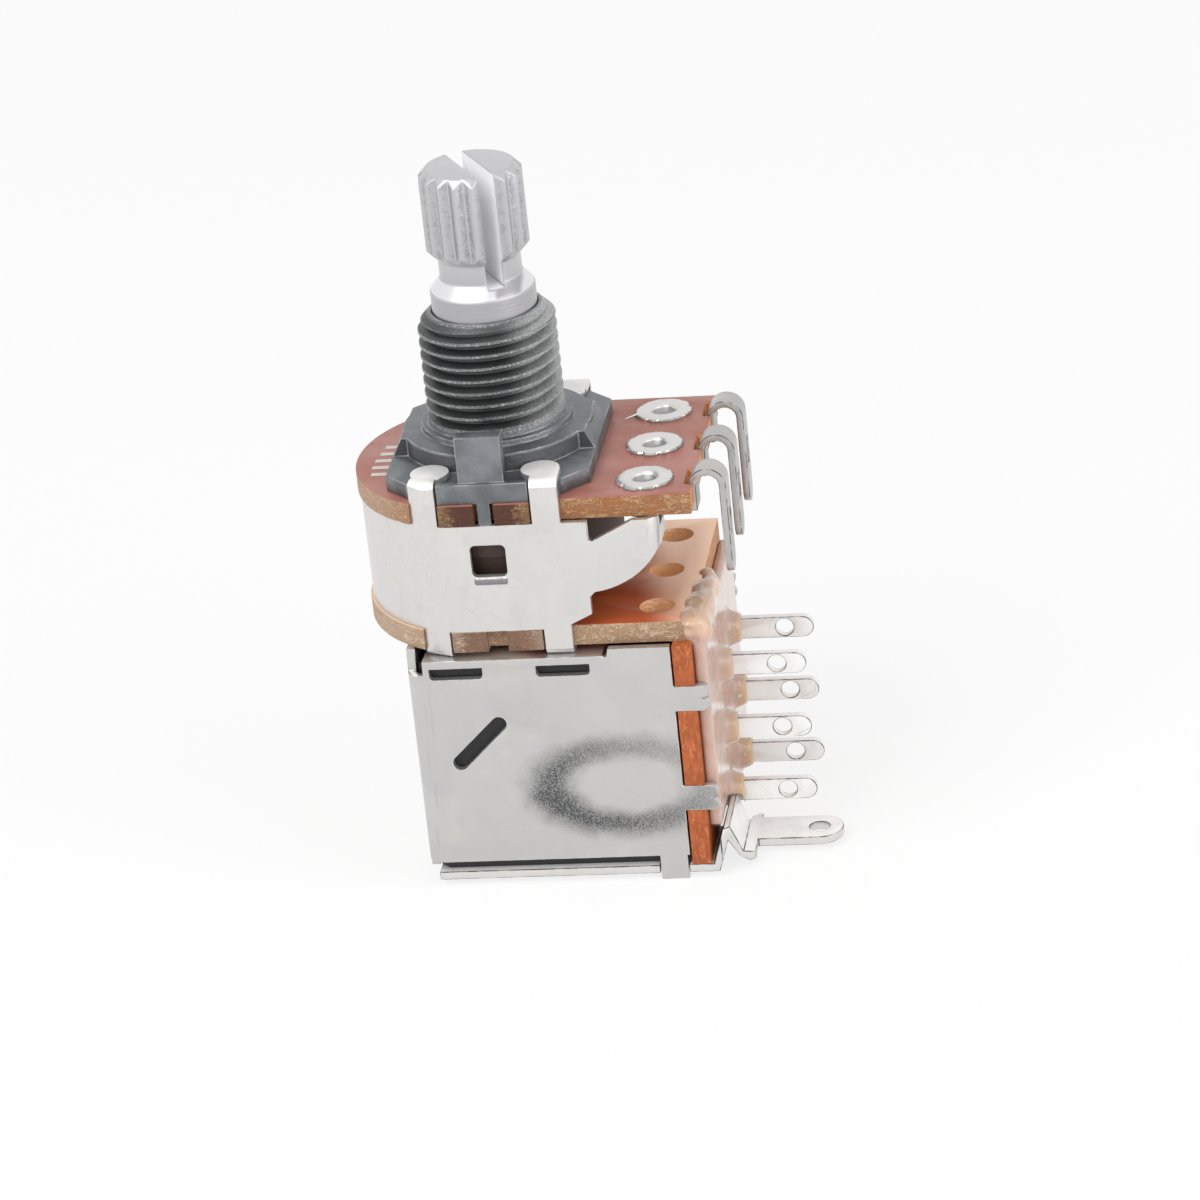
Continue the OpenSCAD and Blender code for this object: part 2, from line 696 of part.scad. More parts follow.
// Flat part of the tab at x, as thick as the sheet, rounded at the fold and square to the wall
module tab_fold(x, end) {
    bend = 0.55;
    left_y = wall_y(x - tab_w / 2);
    right_y = wall_y(x + tab_w / 2);
    fold_w = norm([tab_w, right_y - left_y]);
    swell = right_y == left_y ? 0 : pow(fold_w, 2) / band_corner / 8;
    intersection() {
        linear_extrude(band_t) tab_plan(x, 0, end);
        translate([x, -(left_y + right_y) / 2, 0]) rotate([0, 0, atan2(left_y - right_y, tab_w)])
            sideways(0, fold_w) polygon(concat(arc_pts(bend - swell, band_t - bend, bend,
                180 - asin((bend - band_t) / bend), 90, 5), [[band_y, band_t], [band_y, 0]]));
    }
}

// Tab that rises from the band and folds over the plate's ledge, with a round head
module upper_tab(side) {
    x = side * tab_x;
    ledge = upper_top + ledge_t;
    head_x = tab_x - head_in;
    head_y = -sqrt(pow((boss_d + head_d) / 2 + slide_clear, 2) - pow(head_x, 2));
    tab_wall(x, upper_bottom - eps, ledge - upper_bottom + eps);
    translate([0, 0, ledge]) tab_fold(x, head_y);
    translate([side * head_x, head_y, ledge]) cylinder(d = head_d, h = band_t);
}

// Tab that drops past the lower wafer and folds under it
module lower_tab(side) {
    x = side * tab_x;
    tab_wall(x, lower_bottom, wafer_t + eps);
    translate([0, 0, lower_bottom]) mirror([0, 0, 1]) tab_fold(x, -band_y + tab_w + band_t);
}

// Steel band between the wafers, with its wings, window and eight folded tabs
module case_band() {
    color([0.83, 0.82, 0.8]) {
        difference() {
            translate([0, 0, lower_top]) linear_extrude(band_h) difference() {
                band_outline(0);
                band_outline(band_t);
            }
            translate([wing_reach - wing_bend, -band_y + wing_return, lower_top - eps])
                cube([2 * wing_bend, 2 * (band_y - wing_return), band_h + 2 * eps]);
            translate([wing_reach - wing_bend, -band_y + wing_bend, upper_bottom - strip_t - free_clear])
                cube([2 * wing_bend, 2 * (band_y - wing_bend), 2 * wafer_t]);
            upright(0, 3 * band_y) wing_cut();
            upright(0, 3 * band_y) polygon([[gap_left, upper_bottom + eps],
                [gap_left, upper_bottom - gap_h], [gap_left + 0.2, upper_bottom - gap_h - 0.1],
                [gap_right, upper_bottom], [gap_right, upper_bottom + eps]]);
            upright(-band_y, 2 * band_t + eps) translate([0, upper_bottom - window_drop - window_h / 2])
                window_outline(window_w, window_h, 0.3);
        }
        both_sides() for (side = [-1, 1]) {
            upper_tab(side);
            lower_tab(side);
        }
    }
}

// Rotor: a skirted disc that turns in both wafers and lets the stem slide through
module rotor() {
    hub_top = upper_top - slide_clear;
    skirt_d = rotor_d - 0.6;
    skirt_top = web_z - rotor_wall;
    color([0.27, 0.2, 0.18]) difference() {
        union() {
            translate([0, 0, web_z]) cylinder(d = rotor_d, h = rotor_rim);
            translate([0, 0, skirt_top - rotor_skirt]) cylinder(d = skirt_d, h = rotor_wall + rotor_skirt);
            translate([0, 0, rotor_bottom]) cylinder(d = journal_d, h = hub_top - rotor_bottom);
            translate([0, 0, lower_bottom + 0.2]) cylinder(d = pivot_d, h = rotor_bottom - lower_bottom);
        }
        translate([0, 0, web_z]) difference() {
            cylinder(d = skirt_d - 2 * rotor_wall, h = rotor_rim + eps);
            translate([0, 0, -eps]) cylinder(d = journal_d, h = rotor_rim + 3 * eps);
        }
        translate([0, 0, skirt_top - rotor_skirt - eps]) difference() {
            cylinder(d = skirt_d - 2 * rotor_wall, h = rotor_skirt + eps);
            translate([0, 0, -eps]) cylinder(d = journal_d, h = rotor_skirt + 3 * eps);
        }
        intersection() {
            translate([0, 0, lower_bottom - eps]) cylinder(r = stem_hole_r, h = -lower_bottom + eps);
            translate([-stem_hole_r - eps, -stem_flats / 2 - fit_clear, lower_bottom - eps])
                cube([2 * (stem_hole_r + eps), stem_flats + 2 * fit_clear, -lower_bottom + eps]);
        }
    }
}

// Wiper: a spring ring on the rotor's web with fingers under the track and the ring
module wiper() {
    t = detent_t;
    tip = track_z - slide_clear;
    finger_w = 0.6;
    color([0.8, 0.62, 0.3]) {
        translate([0, 0, web_z]) difference() {
            cylinder(r = track_r - slide_clear, h = t);
            translate([0, 0, -eps]) cylinder(d = journal_d, h = t + 2 * eps);
        }
        for (y = [ring_r + t / 2, track_r - slide_clear - t]) rotate([0, 0, -90])
            sideways(0, finger_w) polygon([[-y + 0.05, web_z], [-y - t, web_z], [-y - 3 * t, tip],
                [-y - 2 * t, tip]]);
    }
}

// Tab that locks the frame in the board, drawn from its root, with a crimped end
module lock_tab() {
    end = board_t + lock_reach + eps;
    h = lock_h / 2;
    polygon([[0, -h], [end - 0.35, -h], [end, -h + 0.2], [end - 0.1, -0.15], [end - 0.45, 0],
        [end - 0.1, 0.15], [end, h - 0.2], [end - 0.35, h], [0, h]]);
}

// Front wall of the frame, flat: wall, raised part, windows, slot, locking tabs and foot
module frame_wall() {
    x = -frame_left + frame_bend;
    shoulder = frame_top - 0.6;
    port_top = frame_top - free_clear;
    port_r = 0.25;
    difference() {
        union() {
            translate([x, frame_bottom]) square([frame_right - x, frame_h - 0.1]);
            translate([x, frame_top - 1]) square([step_x - 0.1 - x, 1]);
            polygon([[step_x, shoulder], [step_x + 0.2, lower_bottom], [frame_right, lower_bottom],
                [frame_right, shoulder]]);
            for (z = locks) translate([frame_right - eps, z]) lock_tab();
            translate([foot_x - foot_w / 2, base_bottom - foot_t])
                square([foot_w, base_gap + base_t + foot_t + eps]);
        }
        for (px = [port_left, port_right]) translate([px, port_top - port_h / 2]) {
            window_outline(port_w, port_h, port_r);
            translate([-port_w / 2, 0]) square([port_w, port_h / 2]);
        }
        translate([cam_x, frame_top - cam_drop]) rotate(cam_turn) union() {
            translate([0, -cam_w / 2]) square([cam_len, cam_w]);
            circle(d = cam_w);
            translate([cam_len, 0]) circle(d = cam_w);
        }
    }
}

// Folded steel frame: front, left and back walls with bent-in top flanges
module switch_frame() {
    y = frame_y - frame_bend;
    left = -frame_left + frame_bend;
    color([0.82, 0.82, 0.82]) {
        both_sides() {
            upright(-frame_y + frame_t / 2, frame_t) frame_wall();
            translate([left, -frame_y, frame_top - frame_t])
                cube([step_x - 0.1 - left, flange_y, frame_t]);
            translate([left, -y, frame_bottom]) intersection() {
                difference() {
                    cylinder(r = frame_bend, h = frame_h);
                    translate([0, 0, -eps]) cylinder(r = frame_bend - frame_t, h = frame_h + 2 * eps);
                }
                translate([-2 * frame_bend, -2 * frame_bend, 0])
                    cube([2 * frame_bend, 2 * frame_bend, frame_h - frame_t - free_clear]);
            }
        }
        translate([-frame_left, -y, base_top]) cube([frame_t, 2 * y, lower_bottom - base_top]);
    }
}

// Side view of the base plate: flat, up over the hump and out as the ground lug
module base_profile() {
    left = base_left - board_right;
    end = ground_reach - board_right;
    t = base_t;
    h = hump_h;
    up = 0.15;
    crown = up + hump_rise;
    down = crown + hump_top;
    foot = down + hump_fall;
    translate([board_right, base_top]) polygon([[left, 0], [up, 0], [crown, h], [down, h],
        [foot - t, t / 2], [foot, 0], [end, 0], [end, -t], [foot - 0.2, -t], [foot - 0.7, 0],
        [crown + 0.2, h - 0.85], [up + 0.3, -t], [left, -t]]);
}

// Plan view of the base plate with its shoulders, ground lug and the feet's slots
module base_plan() {
    lug_end = ground_reach - ground_w / 2;
    hump_end = hump_rise + hump_top + hump_fall + 0.3;
    front = -frame_y - ground_y;
    back = -lug_gap / 2 - lug_t / 2 - free_clear - ground_y;
    shoulder = ground_w / 2 + 0.5;
    difference() {
        union() {
            translate([base_left, -frame_y]) square([board_right - base_left, 2 * frame_y]);
            translate([board_right, ground_y]) polygon([[-eps, front], [hump_rise, front],
                [2 * hump_rise, front + hump_rise], [hump_end, -2 * shoulder + ground_w / 3],
                [hump_end, shoulder], [hump_end - 0.2, shoulder], [hump_end - 0.5, ground_w / 2 - 0.1],
                [hump_end - 0.7, back], [-eps, back]]);
            translate([board_right + 2, ground_y - ground_w / 2])
                square([lug_end - board_right - 2, ground_w]);
            translate([lug_end, ground_y]) circle(d = ground_w);
        }
        translate([lug_end, ground_y]) circle(d = ground_hole_d);
        for (side = [-1, 1]) translate([foot_x, side * frame_y])
            square([foot_w + 0.1, 2 * frame_t + 0.1], center = true);
    }
}

// Base plate, folded up over the hump and out as the ground lug
module base_plate() {
    color([0.8, 0.8, 0.79]) intersection() {
        upright(0, 3 * frame_y) base_profile();
        translate([0, 0, base_bottom - eps]) linear_extrude(hump_h + base_t + 2 * eps) base_plan();
    }
}

// Phenolic board of the switch, notched for the frame's tabs and slotted for the lugs
module terminal_board() {
    color([0.8, 0.4, 0.18]) difference() {
        translate([board_x, -frame_y, base_top])
            cube([board_t, 2 * frame_y, lower_bottom - base_top]);
        both_sides() for (z = locks)
            translate([board_x - eps, -frame_y - eps, z - lock_h / 2])
                cube([board_t + 2 * eps, frame_t + eps, lock_h]);
        for (side = [-1, 1], z = rows)
            translate([board_x - eps, side * lug_gap / 2 - lug_t / 2, z - lug_h / 2])
                cube([board_t + 2 * eps, lug_t, lug_h]);
    }
}

// Switch lug in the column at y, in row number i
module switch_lug(side, i) {
    y = side * lug_gap / 2;
    color([0.8, 0.8, 0.78]) upright(y, lug_t) difference() {
        translate([0, rows[i]]) lug_bar(lug_inner, lug_reach, lug_h);
        translate([lug_reach - lug_hole_back, rows[i]]) circle(d = lug_hole_d);
    }
}

module switch_lug_1() switch_lug(1, 0);
module switch_lug_2() switch_lug(-1, 0);
module switch_lug_3() switch_lug(1, 1);
module switch_lug_4() switch_lug(-1, 1);
module switch_lug_5() switch_lug(1, 2);
module switch_lug_6() switch_lug(-1, 2);

// Resin on the board, with a collar round each lug's root
module lug_resin() {
    y = frame_y - frame_t - 0.1;
    top = lower_bottom - 0.1;
    bottom = base_top + 0.1;
    color([0.85, 0.74, 0.69, 0.7]) difference() {
        union() {
            translate([board_right, -y, bottom]) cube([resin_t, 2 * y, top - bottom]);
            for (side = [-1, 1], z = rows)
                translate([board_right, side * lug_gap / 2, z]) rotate([0, 90, 0])
                    cylinder(d1 = lug_h + 2 * resin_t, d2 = lug_h + resin_t / 2, h = resin_grip);
        }
        for (side = [-1, 1], z = rows)
            translate([board_right - eps, side * lug_gap / 2 - lug_t / 2, z - lug_h / 2])
                cube([resin_grip + 2 * eps, lug_t, lug_h]);
        translate([board_right - eps, -frame_y - eps, base_top - eps])
            cube([2 * resin_t + eps, frame_y - 0.5, hump_h + eps]);
    }
}

// Plastic body behind the frame's walls, which guides the carriage
module switch_body() {
    bottom = base_top;
    corner = frame_bend - frame_t + 0.1;
    right = lug_inner - 0.3;
    color([0.06, 0.06, 0.07]) {
        translate([0, 0, bottom]) linear_extrude(body_top - bottom) difference() {
            polygon([[body_left + corner, -body_y], [right, -body_y], [right, body_y],
                [body_left + corner, body_y], [body_left, body_y - corner],
                [body_left, -body_y + corner]]);
            translate([body_left + body_wall, -body_y + body_wall])
                square([2 * frame_right, 2 * (body_y - body_wall)]);
        }
    }
}

// Sliding carriage, which holds the fork clip and both bridges
module slide_carriage() {
    notch_r = 0.5;
    slot_y = stem_r + free_clear;
    color([0.1, 0.1, 0.11]) difference() {
        translate([carriage_left, -carriage_y, carriage_bottom])
            cube([carriage_right - carriage_left, 2 * carriage_y, carriage_h]);
        translate([0, 0, stem_bottom - slide_clear]) cylinder(r = stem_hole_r, h = carriage_h);
        translate([-slot_y, -slot_y, clip_z - clip_t / 2]) cube([2 * carriage_right, 2 * slot_y, clip_t]);
        for (z = [detent_z, detent_z - pull_travel]) translate([carriage_left, 0, z])
            rotate([90, 0, 0]) cylinder(r = notch_r, h = 3 * carriage_y, center = true);
        for (side = [-1, 1])
            translate([carriage_right - bridge_t, side * lug_gap / 2 - bridge_w / 2, bridge_z])
                cube([bridge_t + eps, bridge_w, bridge_h]);
    }
}

// Fork clip in the carriage, which grips the groove of the turning stem
module fork_clip() {
    y = stem_r + free_clear;
    color([0.7, 0.7, 0.72]) translate([0, 0, clip_z - clip_t / 2]) difference() {
        translate([-y, -y, 0]) cube([carriage_right - bridge_t - slide_clear + y, 2 * y, clip_t]);
        translate([0, 0, -eps]) cylinder(r = groove_r + fit_clear, h = clip_t + 2 * eps);
        translate([-y - eps, -groove_r - fit_clear, -eps])
            cube([y + eps, 2 * (groove_r + fit_clear), clip_t + 2 * eps]);
    }
}

// Contact bridge on the carriage, which joins the two rows that it stands against
module bridge(side) {
    color([0.85, 0.65, 0.3]) translate([carriage_right, side * lug_gap / 2, 0]) {
        translate([-bridge_t, -bridge_w / 2, bridge_z]) cube([bridge_t, bridge_w, bridge_h]);
        for (i = [1, 2]) translate([0, -bump_w / 2, rows[i] - bump_w / 2])
            cube([bump_reach, bump_w, bump_w]);
    }
}

module bridge_front() bridge(-1);
module bridge_back() bridge(1);

// Bowed spring on the body's left wall, whose bump rests in the carriage's groove
module detent_spring() {
    x0 = body_left + body_wall;
    x1 = carriage_left - fit_clear;
    t = detent_t;
    w = 2.4;
    end = 3.4;
    knee = 2.5;
    bump = 0.2;
    color([0.75, 0.75, 0.77]) upright(0, w) translate([0, detent_z]) polygon([[x0, -end],
        [x0 + t, -end], [x0 + t, -knee - 0.1], [x1, -bump - 0.1], [x1, bump + 0.1],
        [x0 + t, knee + 0.1], [x0 + t, end], [x0, end], [x0, knee], [x1 - t, bump],
        [x1 - t, -bump], [x0, -knee]]);
}

shaft();
bushing_plate();
upper_wafer();
resistive_track();
collector_ring();
terminal_1();
terminal_2();
terminal_3();
terminal_rivets();
rotor();
wiper();
case_band();
lower_wafer();
switch_frame();
base_plate();
terminal_board();
switch_lug_1();
switch_lug_2();
switch_lug_3();
switch_lug_4();
switch_lug_5();
switch_lug_6();
lug_resin();
switch_body();
slide_carriage();
fork_clip();
bridge_front();
bridge_back();
detent_spring();
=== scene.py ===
import math
import random

import bpy
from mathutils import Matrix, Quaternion, Vector


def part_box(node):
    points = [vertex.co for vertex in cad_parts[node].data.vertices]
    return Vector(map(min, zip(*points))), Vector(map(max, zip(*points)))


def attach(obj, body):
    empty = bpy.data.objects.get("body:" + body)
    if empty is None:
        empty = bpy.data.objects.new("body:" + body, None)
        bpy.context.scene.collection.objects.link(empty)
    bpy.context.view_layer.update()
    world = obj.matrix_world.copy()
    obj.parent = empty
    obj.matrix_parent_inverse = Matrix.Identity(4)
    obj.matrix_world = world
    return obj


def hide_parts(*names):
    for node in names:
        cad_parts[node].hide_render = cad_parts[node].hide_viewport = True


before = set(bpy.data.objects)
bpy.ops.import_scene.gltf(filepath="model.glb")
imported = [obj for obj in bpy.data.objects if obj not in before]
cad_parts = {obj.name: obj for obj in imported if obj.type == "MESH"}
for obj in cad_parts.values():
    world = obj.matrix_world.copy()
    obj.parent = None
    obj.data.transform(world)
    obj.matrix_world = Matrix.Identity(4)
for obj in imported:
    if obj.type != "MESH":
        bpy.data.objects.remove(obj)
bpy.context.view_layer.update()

MM = 0.001
X, Y, Z = 0, 1, 2


def span(node, axis):
    """Where a solid begins and ends along one axis, in millimetres."""
    low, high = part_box(node)
    return round(low[axis] / MM, 3), round(high[axis] / MM, 3)


# Places, levels and sizes in millimetres, from the frame where its boxes show them. The shaft's
# axis is the z axis, and the boss's top, which bears on the panel, is level 0.
# Shaft: knurl, neck, cone and saw slot, from the top down
SHAFT_R = span("shaft", X)[1]
SHAFT_TOP = span("shaft", Z)[1]
KNURL_LEN = 5.3
NECK_LEN = 1.15
CONE_H = 0.75
KNURL_BOTTOM = SHAFT_TOP - KNURL_LEN
CONE_TOP = KNURL_BOTTOM - NECK_LEN
CONE_BOTTOM = CONE_TOP - CONE_H
# middle of the painted dark reflection patch on the cone's front
CONE_DARK_REFLECTION_X = 1.8
SLOT_TURN = -61.0
SLOT_W = 1.0
SLOT_DEPTH = 6.7
SLOT_BOTTOM = SHAFT_TOP - SLOT_DEPTH

# Casting: thread and its cut, the bushing's chamfered end, and below it rim, boss, side blocks
# and plate
THREAD_R = 3.95
THREAD_ROOT_R = 3.45
THREAD_PITCH = 0.75
THREAD_START = 0.81
THREAD_TURNS = 9
THREAD_STEPS = 72
THREAD_CUT_CLEAR = 0.12
THREAD_ROOT_H = 0.07
THREAD_CUT_H = 0.36
CHAMFER_H = 0.75
CHAMFER_Z = span("bushing_plate", Z)[1] - CHAMFER_H
END_GROOVE_R = 3.5
RIM_TOP = 0.35
BOSS_R = 5.45
BOSS_TOP = 0.0
BLOCK_X = 4.9
BLOCK_Y = 2.35
PLATE_TOP = -1.1

# Wafers and rivets
UPPER_TOP = span("upper_wafer", Z)[1]
LOWER_TOP = span("lower_wafer", Z)[1]
LOWER_END = span("lower_wafer", X)[1]
NOSE_W = 5.2
NOTCH_X = 11.0
NOTCH_Y = 7.1
HOLE_R = 1.0
RIVET_X = sum(span("terminal_rivets", X)) / 2
RIVET_PITCH = 5.0
RIVET_R = 1.65
RIVET_STEPS = 72
RIVET_RINGS = ((1.68, 0.07), (1.6, 0.17), (1.4, 0.22), (1.0, 0.25), (0.82, 0.2), (0.66, 0.04),
               (0.55, -0.2), (0.3, -0.27), (0.02, -0.25))
RIVET_TEARS = 9
RIVET_TEAR_SHARES = (1.0, 1.0, 0.7, 0.25)
# outside this band the rivet's rim and funnel take a darker grey as painted shade
SHINY_INSIDE = 0.72
SHINY_OUTSIDE = 1.6
SLIVER_AT = (7.05, 4.22, UPPER_TOP + 0.12)
SLIVER_TURN = -46

# Band, with the rolled lip of its window
BAND_Y = span("case_band", Y)[1]
TAB_HEADS_Z = UPPER_TOP + 0.2
WINDOW_BOTTOM = -6.4
LIP_R = 0.27
LIP_W = 1.9
LIP_AT = (0.02, -BAND_Y + 0.14, WINDOW_BOTTOM - LIP_R)

# Switch: frame, whose feet are the part's lowest level, and resin
FRAME_LEFT = span("switch_frame", X)[0]
FRAME_Y = span("switch_frame", Y)[1]
FLOOR_Z = span("switch_frame", Z)[0]
RESIN_T = 0.75
RESIN_FACE = span("terminal_board", X)[1] + RESIN_T
RESIN_VOXEL = 0.11
DROPS_X = LOWER_END + 0.45

# Printed strokes beside the plate
STROKES = 5
STROKE_HALF = (0.5, 0.22)
STROKE_FIRST = (-6.85, -2.6)
STROKE_PITCH = 1.0
INK_RISE = 0.012

# Grey stain on the frame's front: middle, half width and half height of its ring
STAIN_X = 6.7
STAIN_Z = -19.6
STAIN_W = 6.2
STAIN_H = 3.3

# Rounded edges: the turn from which an edge counts as sharp, in degrees
SHARP = 30

# Camera as fitted to the photo: to the right of the front, above, and slightly turned
VIEW_TARGET = Vector((5.31, -3.22, -10.13)) * MM
VIEW_DISTANCE = 297.0 * MM
VIEW_TURN = 9.48
VIEW_RISE = 23.68
VIEW_ROLL = -6.08
VIEW_LENS = 155.95
SENSOR = 36

# Studio: name, place, size and power of each lamp, the world's level as a light, and how much of
# the floor's own white the camera sees instead of the light that falls on it
LAMPS = (
    ("key_lamp", (-0.25, -0.35, 0.45), 0.45, 2.1),
    ("fill_lamp", (0.40, -0.20, 0.20), 0.40, 0.8),
)
WORLD_LEVEL = 0.62
FLOOR_OWN_WHITE = 0.75

# Colours of the finishes, linear
ALUMINIUM = (0.54, 0.54, 0.56, 1)
ALUMINIUM_DULL_AND_DARK_REFLECTION = (0.40, 0.39, 0.41, 1)
ALUMINIUM_PAINTED_REFLECTION = (0.84, 0.84, 0.86, 1)
ALUMINIUM_RIDGE = (0.52, 0.52, 0.54, 1)
# dark grey for pits in the shaft, and painted shade under the window's lip
ALUMINIUM_PIT_AND_SHADE = (0.16, 0.16, 0.17, 1)
ZINC = (0.142, 0.153, 0.162, 1)
ZINC_PALE = (0.228, 0.242, 0.256, 1)
# painted shade for the thread's valleys
ZINC_VALLEY_SHADE = (0.085, 0.089, 0.09, 1)
# painted shade for the casting's recesses
ZINC_RECESS_SHADE = (0.055, 0.058, 0.06, 1)
# pale zinc: worn edges and grain, and the painted highlight on the thread's crests and right side
ZINC_WEAR_AND_HIGHLIGHT = (0.46, 0.47, 0.47, 1)
TIN = (0.70, 0.685, 0.67, 1)
TIN_FRAME = (0.57, 0.56, 0.55, 1)
# pale tin: the lugs' own, and painted light on upward faces of the tab heads and the base plate
TIN_PALE_AND_LIT_TOPS = (0.90, 0.89, 0.875, 1)
TIN_WARM = (0.76, 0.70, 0.63, 1)
TIN_DULL = (0.52, 0.505, 0.48, 1)
TIN_STAIN = (0.10, 0.103, 0.106, 1)
STRIP = (0.48, 0.47, 0.46, 1)
# near-black edges of hooks, lugs and the base plate: a painted dark reflection
STRIP_EDGE_DARK_REFLECTION = (0.13, 0.13, 0.13, 1)
# painted shade for the rivets' rims and funnels
FUNNEL_SHADE = (0.34, 0.34, 0.33, 1)
RED_FACE = (0.37, 0.135, 0.098, 1)
RED_FACE_PALE = (0.44, 0.20, 0.165, 1)
RED_EDGE = (0.38, 0.14, 0.048, 1)
RED_EDGE_PALE = (0.56, 0.33, 0.18, 1)
NOSE_BROWN = (0.115, 0.045, 0.028, 1)
NOSE_FIBRE = (0.36, 0.22, 0.11, 1)
BOARD_WORN = (0.66, 0.52, 0.42, 1)
TAN_FACE = (0.98, 0.66, 0.48, 1)
TAN_FACE_DEEP = (0.46, 0.10, 0.035, 1)
# orange of the rivet holes' walls, also the colour of their painted glow
HOLE_GLOW_ORANGE = (0.95, 0.47, 0.20, 1)
TAN_EDGE = (0.46, 0.28, 0.16, 1)
TAN_EDGE_PALE = (0.72, 0.53, 0.38, 1)
LOW_NOSE = (0.28, 0.165, 0.115, 1)
LOW_NOSE_PALE = (0.50, 0.37, 0.28, 1)
# the board's orange, brightened as painted light on its shaded notch walls
NOTCH_ORANGE_AND_LIGHT = (0.95, 0.42, 0.18, 1)
ORANGE = (0.47, 0.12, 0.035, 1)
ORANGE_PALE = (0.78, 0.34, 0.15, 1)
ORANGE_DEEP = (0.37, 0.085, 0.022, 1)
RESIN = (0.68, 0.50, 0.43, 1)
RESIN_CREAM = (0.76, 0.53, 0.37, 1)
RESIN_PINK = (0.64, 0.42, 0.34, 1)
RESIN_YELLOW = (0.66, 0.46, 0.27, 1)
RESIN_BUBBLE = (0.95, 0.92, 0.88, 1)
BROWN = (0.06, 0.034, 0.026, 1)
BLACK = (0.012, 0.012, 0.015, 1)
CARBON = (0.02, 0.02, 0.02, 1)
SILVER_INK = (0.5, 0.5, 0.48, 1)
BRASS = (0.70, 0.48, 0.20, 1)
PRINT_WHITE = (0.72, 0.68, 0.63, 1)
FLOOR_WHITE = (0.9, 0.9, 0.9, 1)
WHITE = (1, 1, 1, 1)


def add_node(mat, kind, settings=None, **inputs):
    """A shader node; an input, by name or as _number, is a plain value or another node's socket."""
    made = mat.node_tree.nodes.new(kind)
    for key, value in (settings or {}).items():
        setattr(made, key, value)
    for key, value in inputs.items():
        socket = made.inputs[int(key[1:]) if key[1:].isdigit() else key.replace("_", " ")]
        if isinstance(value, bpy.types.NodeSocket):
            mat.node_tree.links.new(value, socket)
        else:
            socket.default_value = value
    return made


def place(mat, stretch=(1, 1, 1), turn=(0, 0, 0)):
    """The piece's own coordinates in millimetres, turned by degrees and squeezed by the stretch."""
    coords = add_node(mat, "ShaderNodeTexCoord").outputs["Object"]
    return add_node(
        mat, "ShaderNodeMapping", {"vector_type": "TEXTURE"}, Vector=coords,
        Rotation=tuple(math.radians(a) for a in turn), Scale=tuple(MM / s for s in stretch),
    ).outputs[0]


def coordinates(mat):
    """The three coordinates in millimetres."""
    return add_node(mat, "ShaderNodeSeparateXYZ", Vector=place(mat)).outputs


def calc(mat, operation, a, b=0.0):
    """One step of arithmetic on masks or coordinates."""
    return add_node(mat, "ShaderNodeMath", {"operation": operation}, _0=a, _1=b).outputs[0]


def times(mat, *values):
    """The product of several masks."""
    product = values[0]
    for value in values[1:]:
        product = calc(mat, "MULTIPLY", product, value)
    return product


def either(mat, a, b):
    """The stronger of two masks."""
    return calc(mat, "MAXIMUM", a, b)


def away(mat, value, middle=0.0):
    """How far the value is from the middle, either way."""
    if middle:
        value = calc(mat, "SUBTRACT", value, middle)
    return calc(mat, "ABSOLUTE", value)


def ramp(mat, value, low, high, start=0.0, end=1.0):
    """The value mapped from low..high to start..end, held beyond both ends."""
    return add_node(
        mat, "ShaderNodeMapRange", {"interpolation_type": "SMOOTHSTEP"},
        Value=value, From_Min=low, From_Max=high, To_Min=start, To_Max=end,
    ).outputs[0]


def noise(mat, size, stretch=(1, 1, 1), detail=3.0, warp=0.0, turn=(0, 0, 0)):
    """Cloudy noise whose patches are about this many millimetres across."""
    return add_node(
        mat, "ShaderNodeTexNoise", Vector=place(mat, stretch, turn), Scale=1 / size, Detail=detail,
        Distortion=warp,
    ).outputs["Fac"]


def blend(mat, amount, a, b):
    """Colour a where the amount is 0 and b where it is 1."""
    return add_node(
        mat, "ShaderNodeMix", {"data_type": "RGBA"}, _0=amount, _6=a, _7=b
    ).outputs[2]


def bump(mat, height, depth):
    """Bumps this many millimetres deep."""
    return add_node(
        mat, "ShaderNodeBump", Height=height, Distance=depth * MM, Strength=1.0
    ).outputs[0]


def radius(mat, x, y):
    """Distance from the middle of two coordinates, such as from the shaft's axis."""
    return calc(mat, "SQRT", calc(mat, "ADD", times(mat, x, x), times(mat, y, y)))


def facing(mat, name):
    """How much the surface faces along one axis, either way."""
    normal = add_node(mat, "ShaderNodeNewGeometry").outputs["Normal"]
    return away(mat, add_node(mat, "ShaderNodeSeparateXYZ", Vector=normal).outputs[name])


def finish(name, colour, metal=0.0, rough=0.5, shine=0.5):
    """A material with plain values, and its shader node."""
    mat = bpy.data.materials.new(name)
    mat.use_nodes = True
    shader = mat.node_tree.nodes["Principled BSDF"]
    shader.inputs["Base Color"].default_value = colour
    shader.inputs["Metallic"].default_value = metal
    shader.inputs["Roughness"].default_value = rough
    shader.inputs["Specular IOR Level"].default_value = shine
    return mat, shader


def feed(mat, shader, **inputs):
    """Links patterns to the shader's sockets."""
    for key, value in inputs.items():
        mat.node_tree.links.new(value, shader.inputs[key.replace("_", " ")])


def scratches(mat):
    """Sparse hairline scratches in three directions."""
    lines = [
        ramp(mat, noise(mat, 0.16, (1, 1, 0.05), 1, 0.2, (0, turn, 0)), 0.70, 0.75)
        for turn in (12, 68, -47)
    ]
    return either(mat, lines[0], either(mat, lines[1], lines[2]))


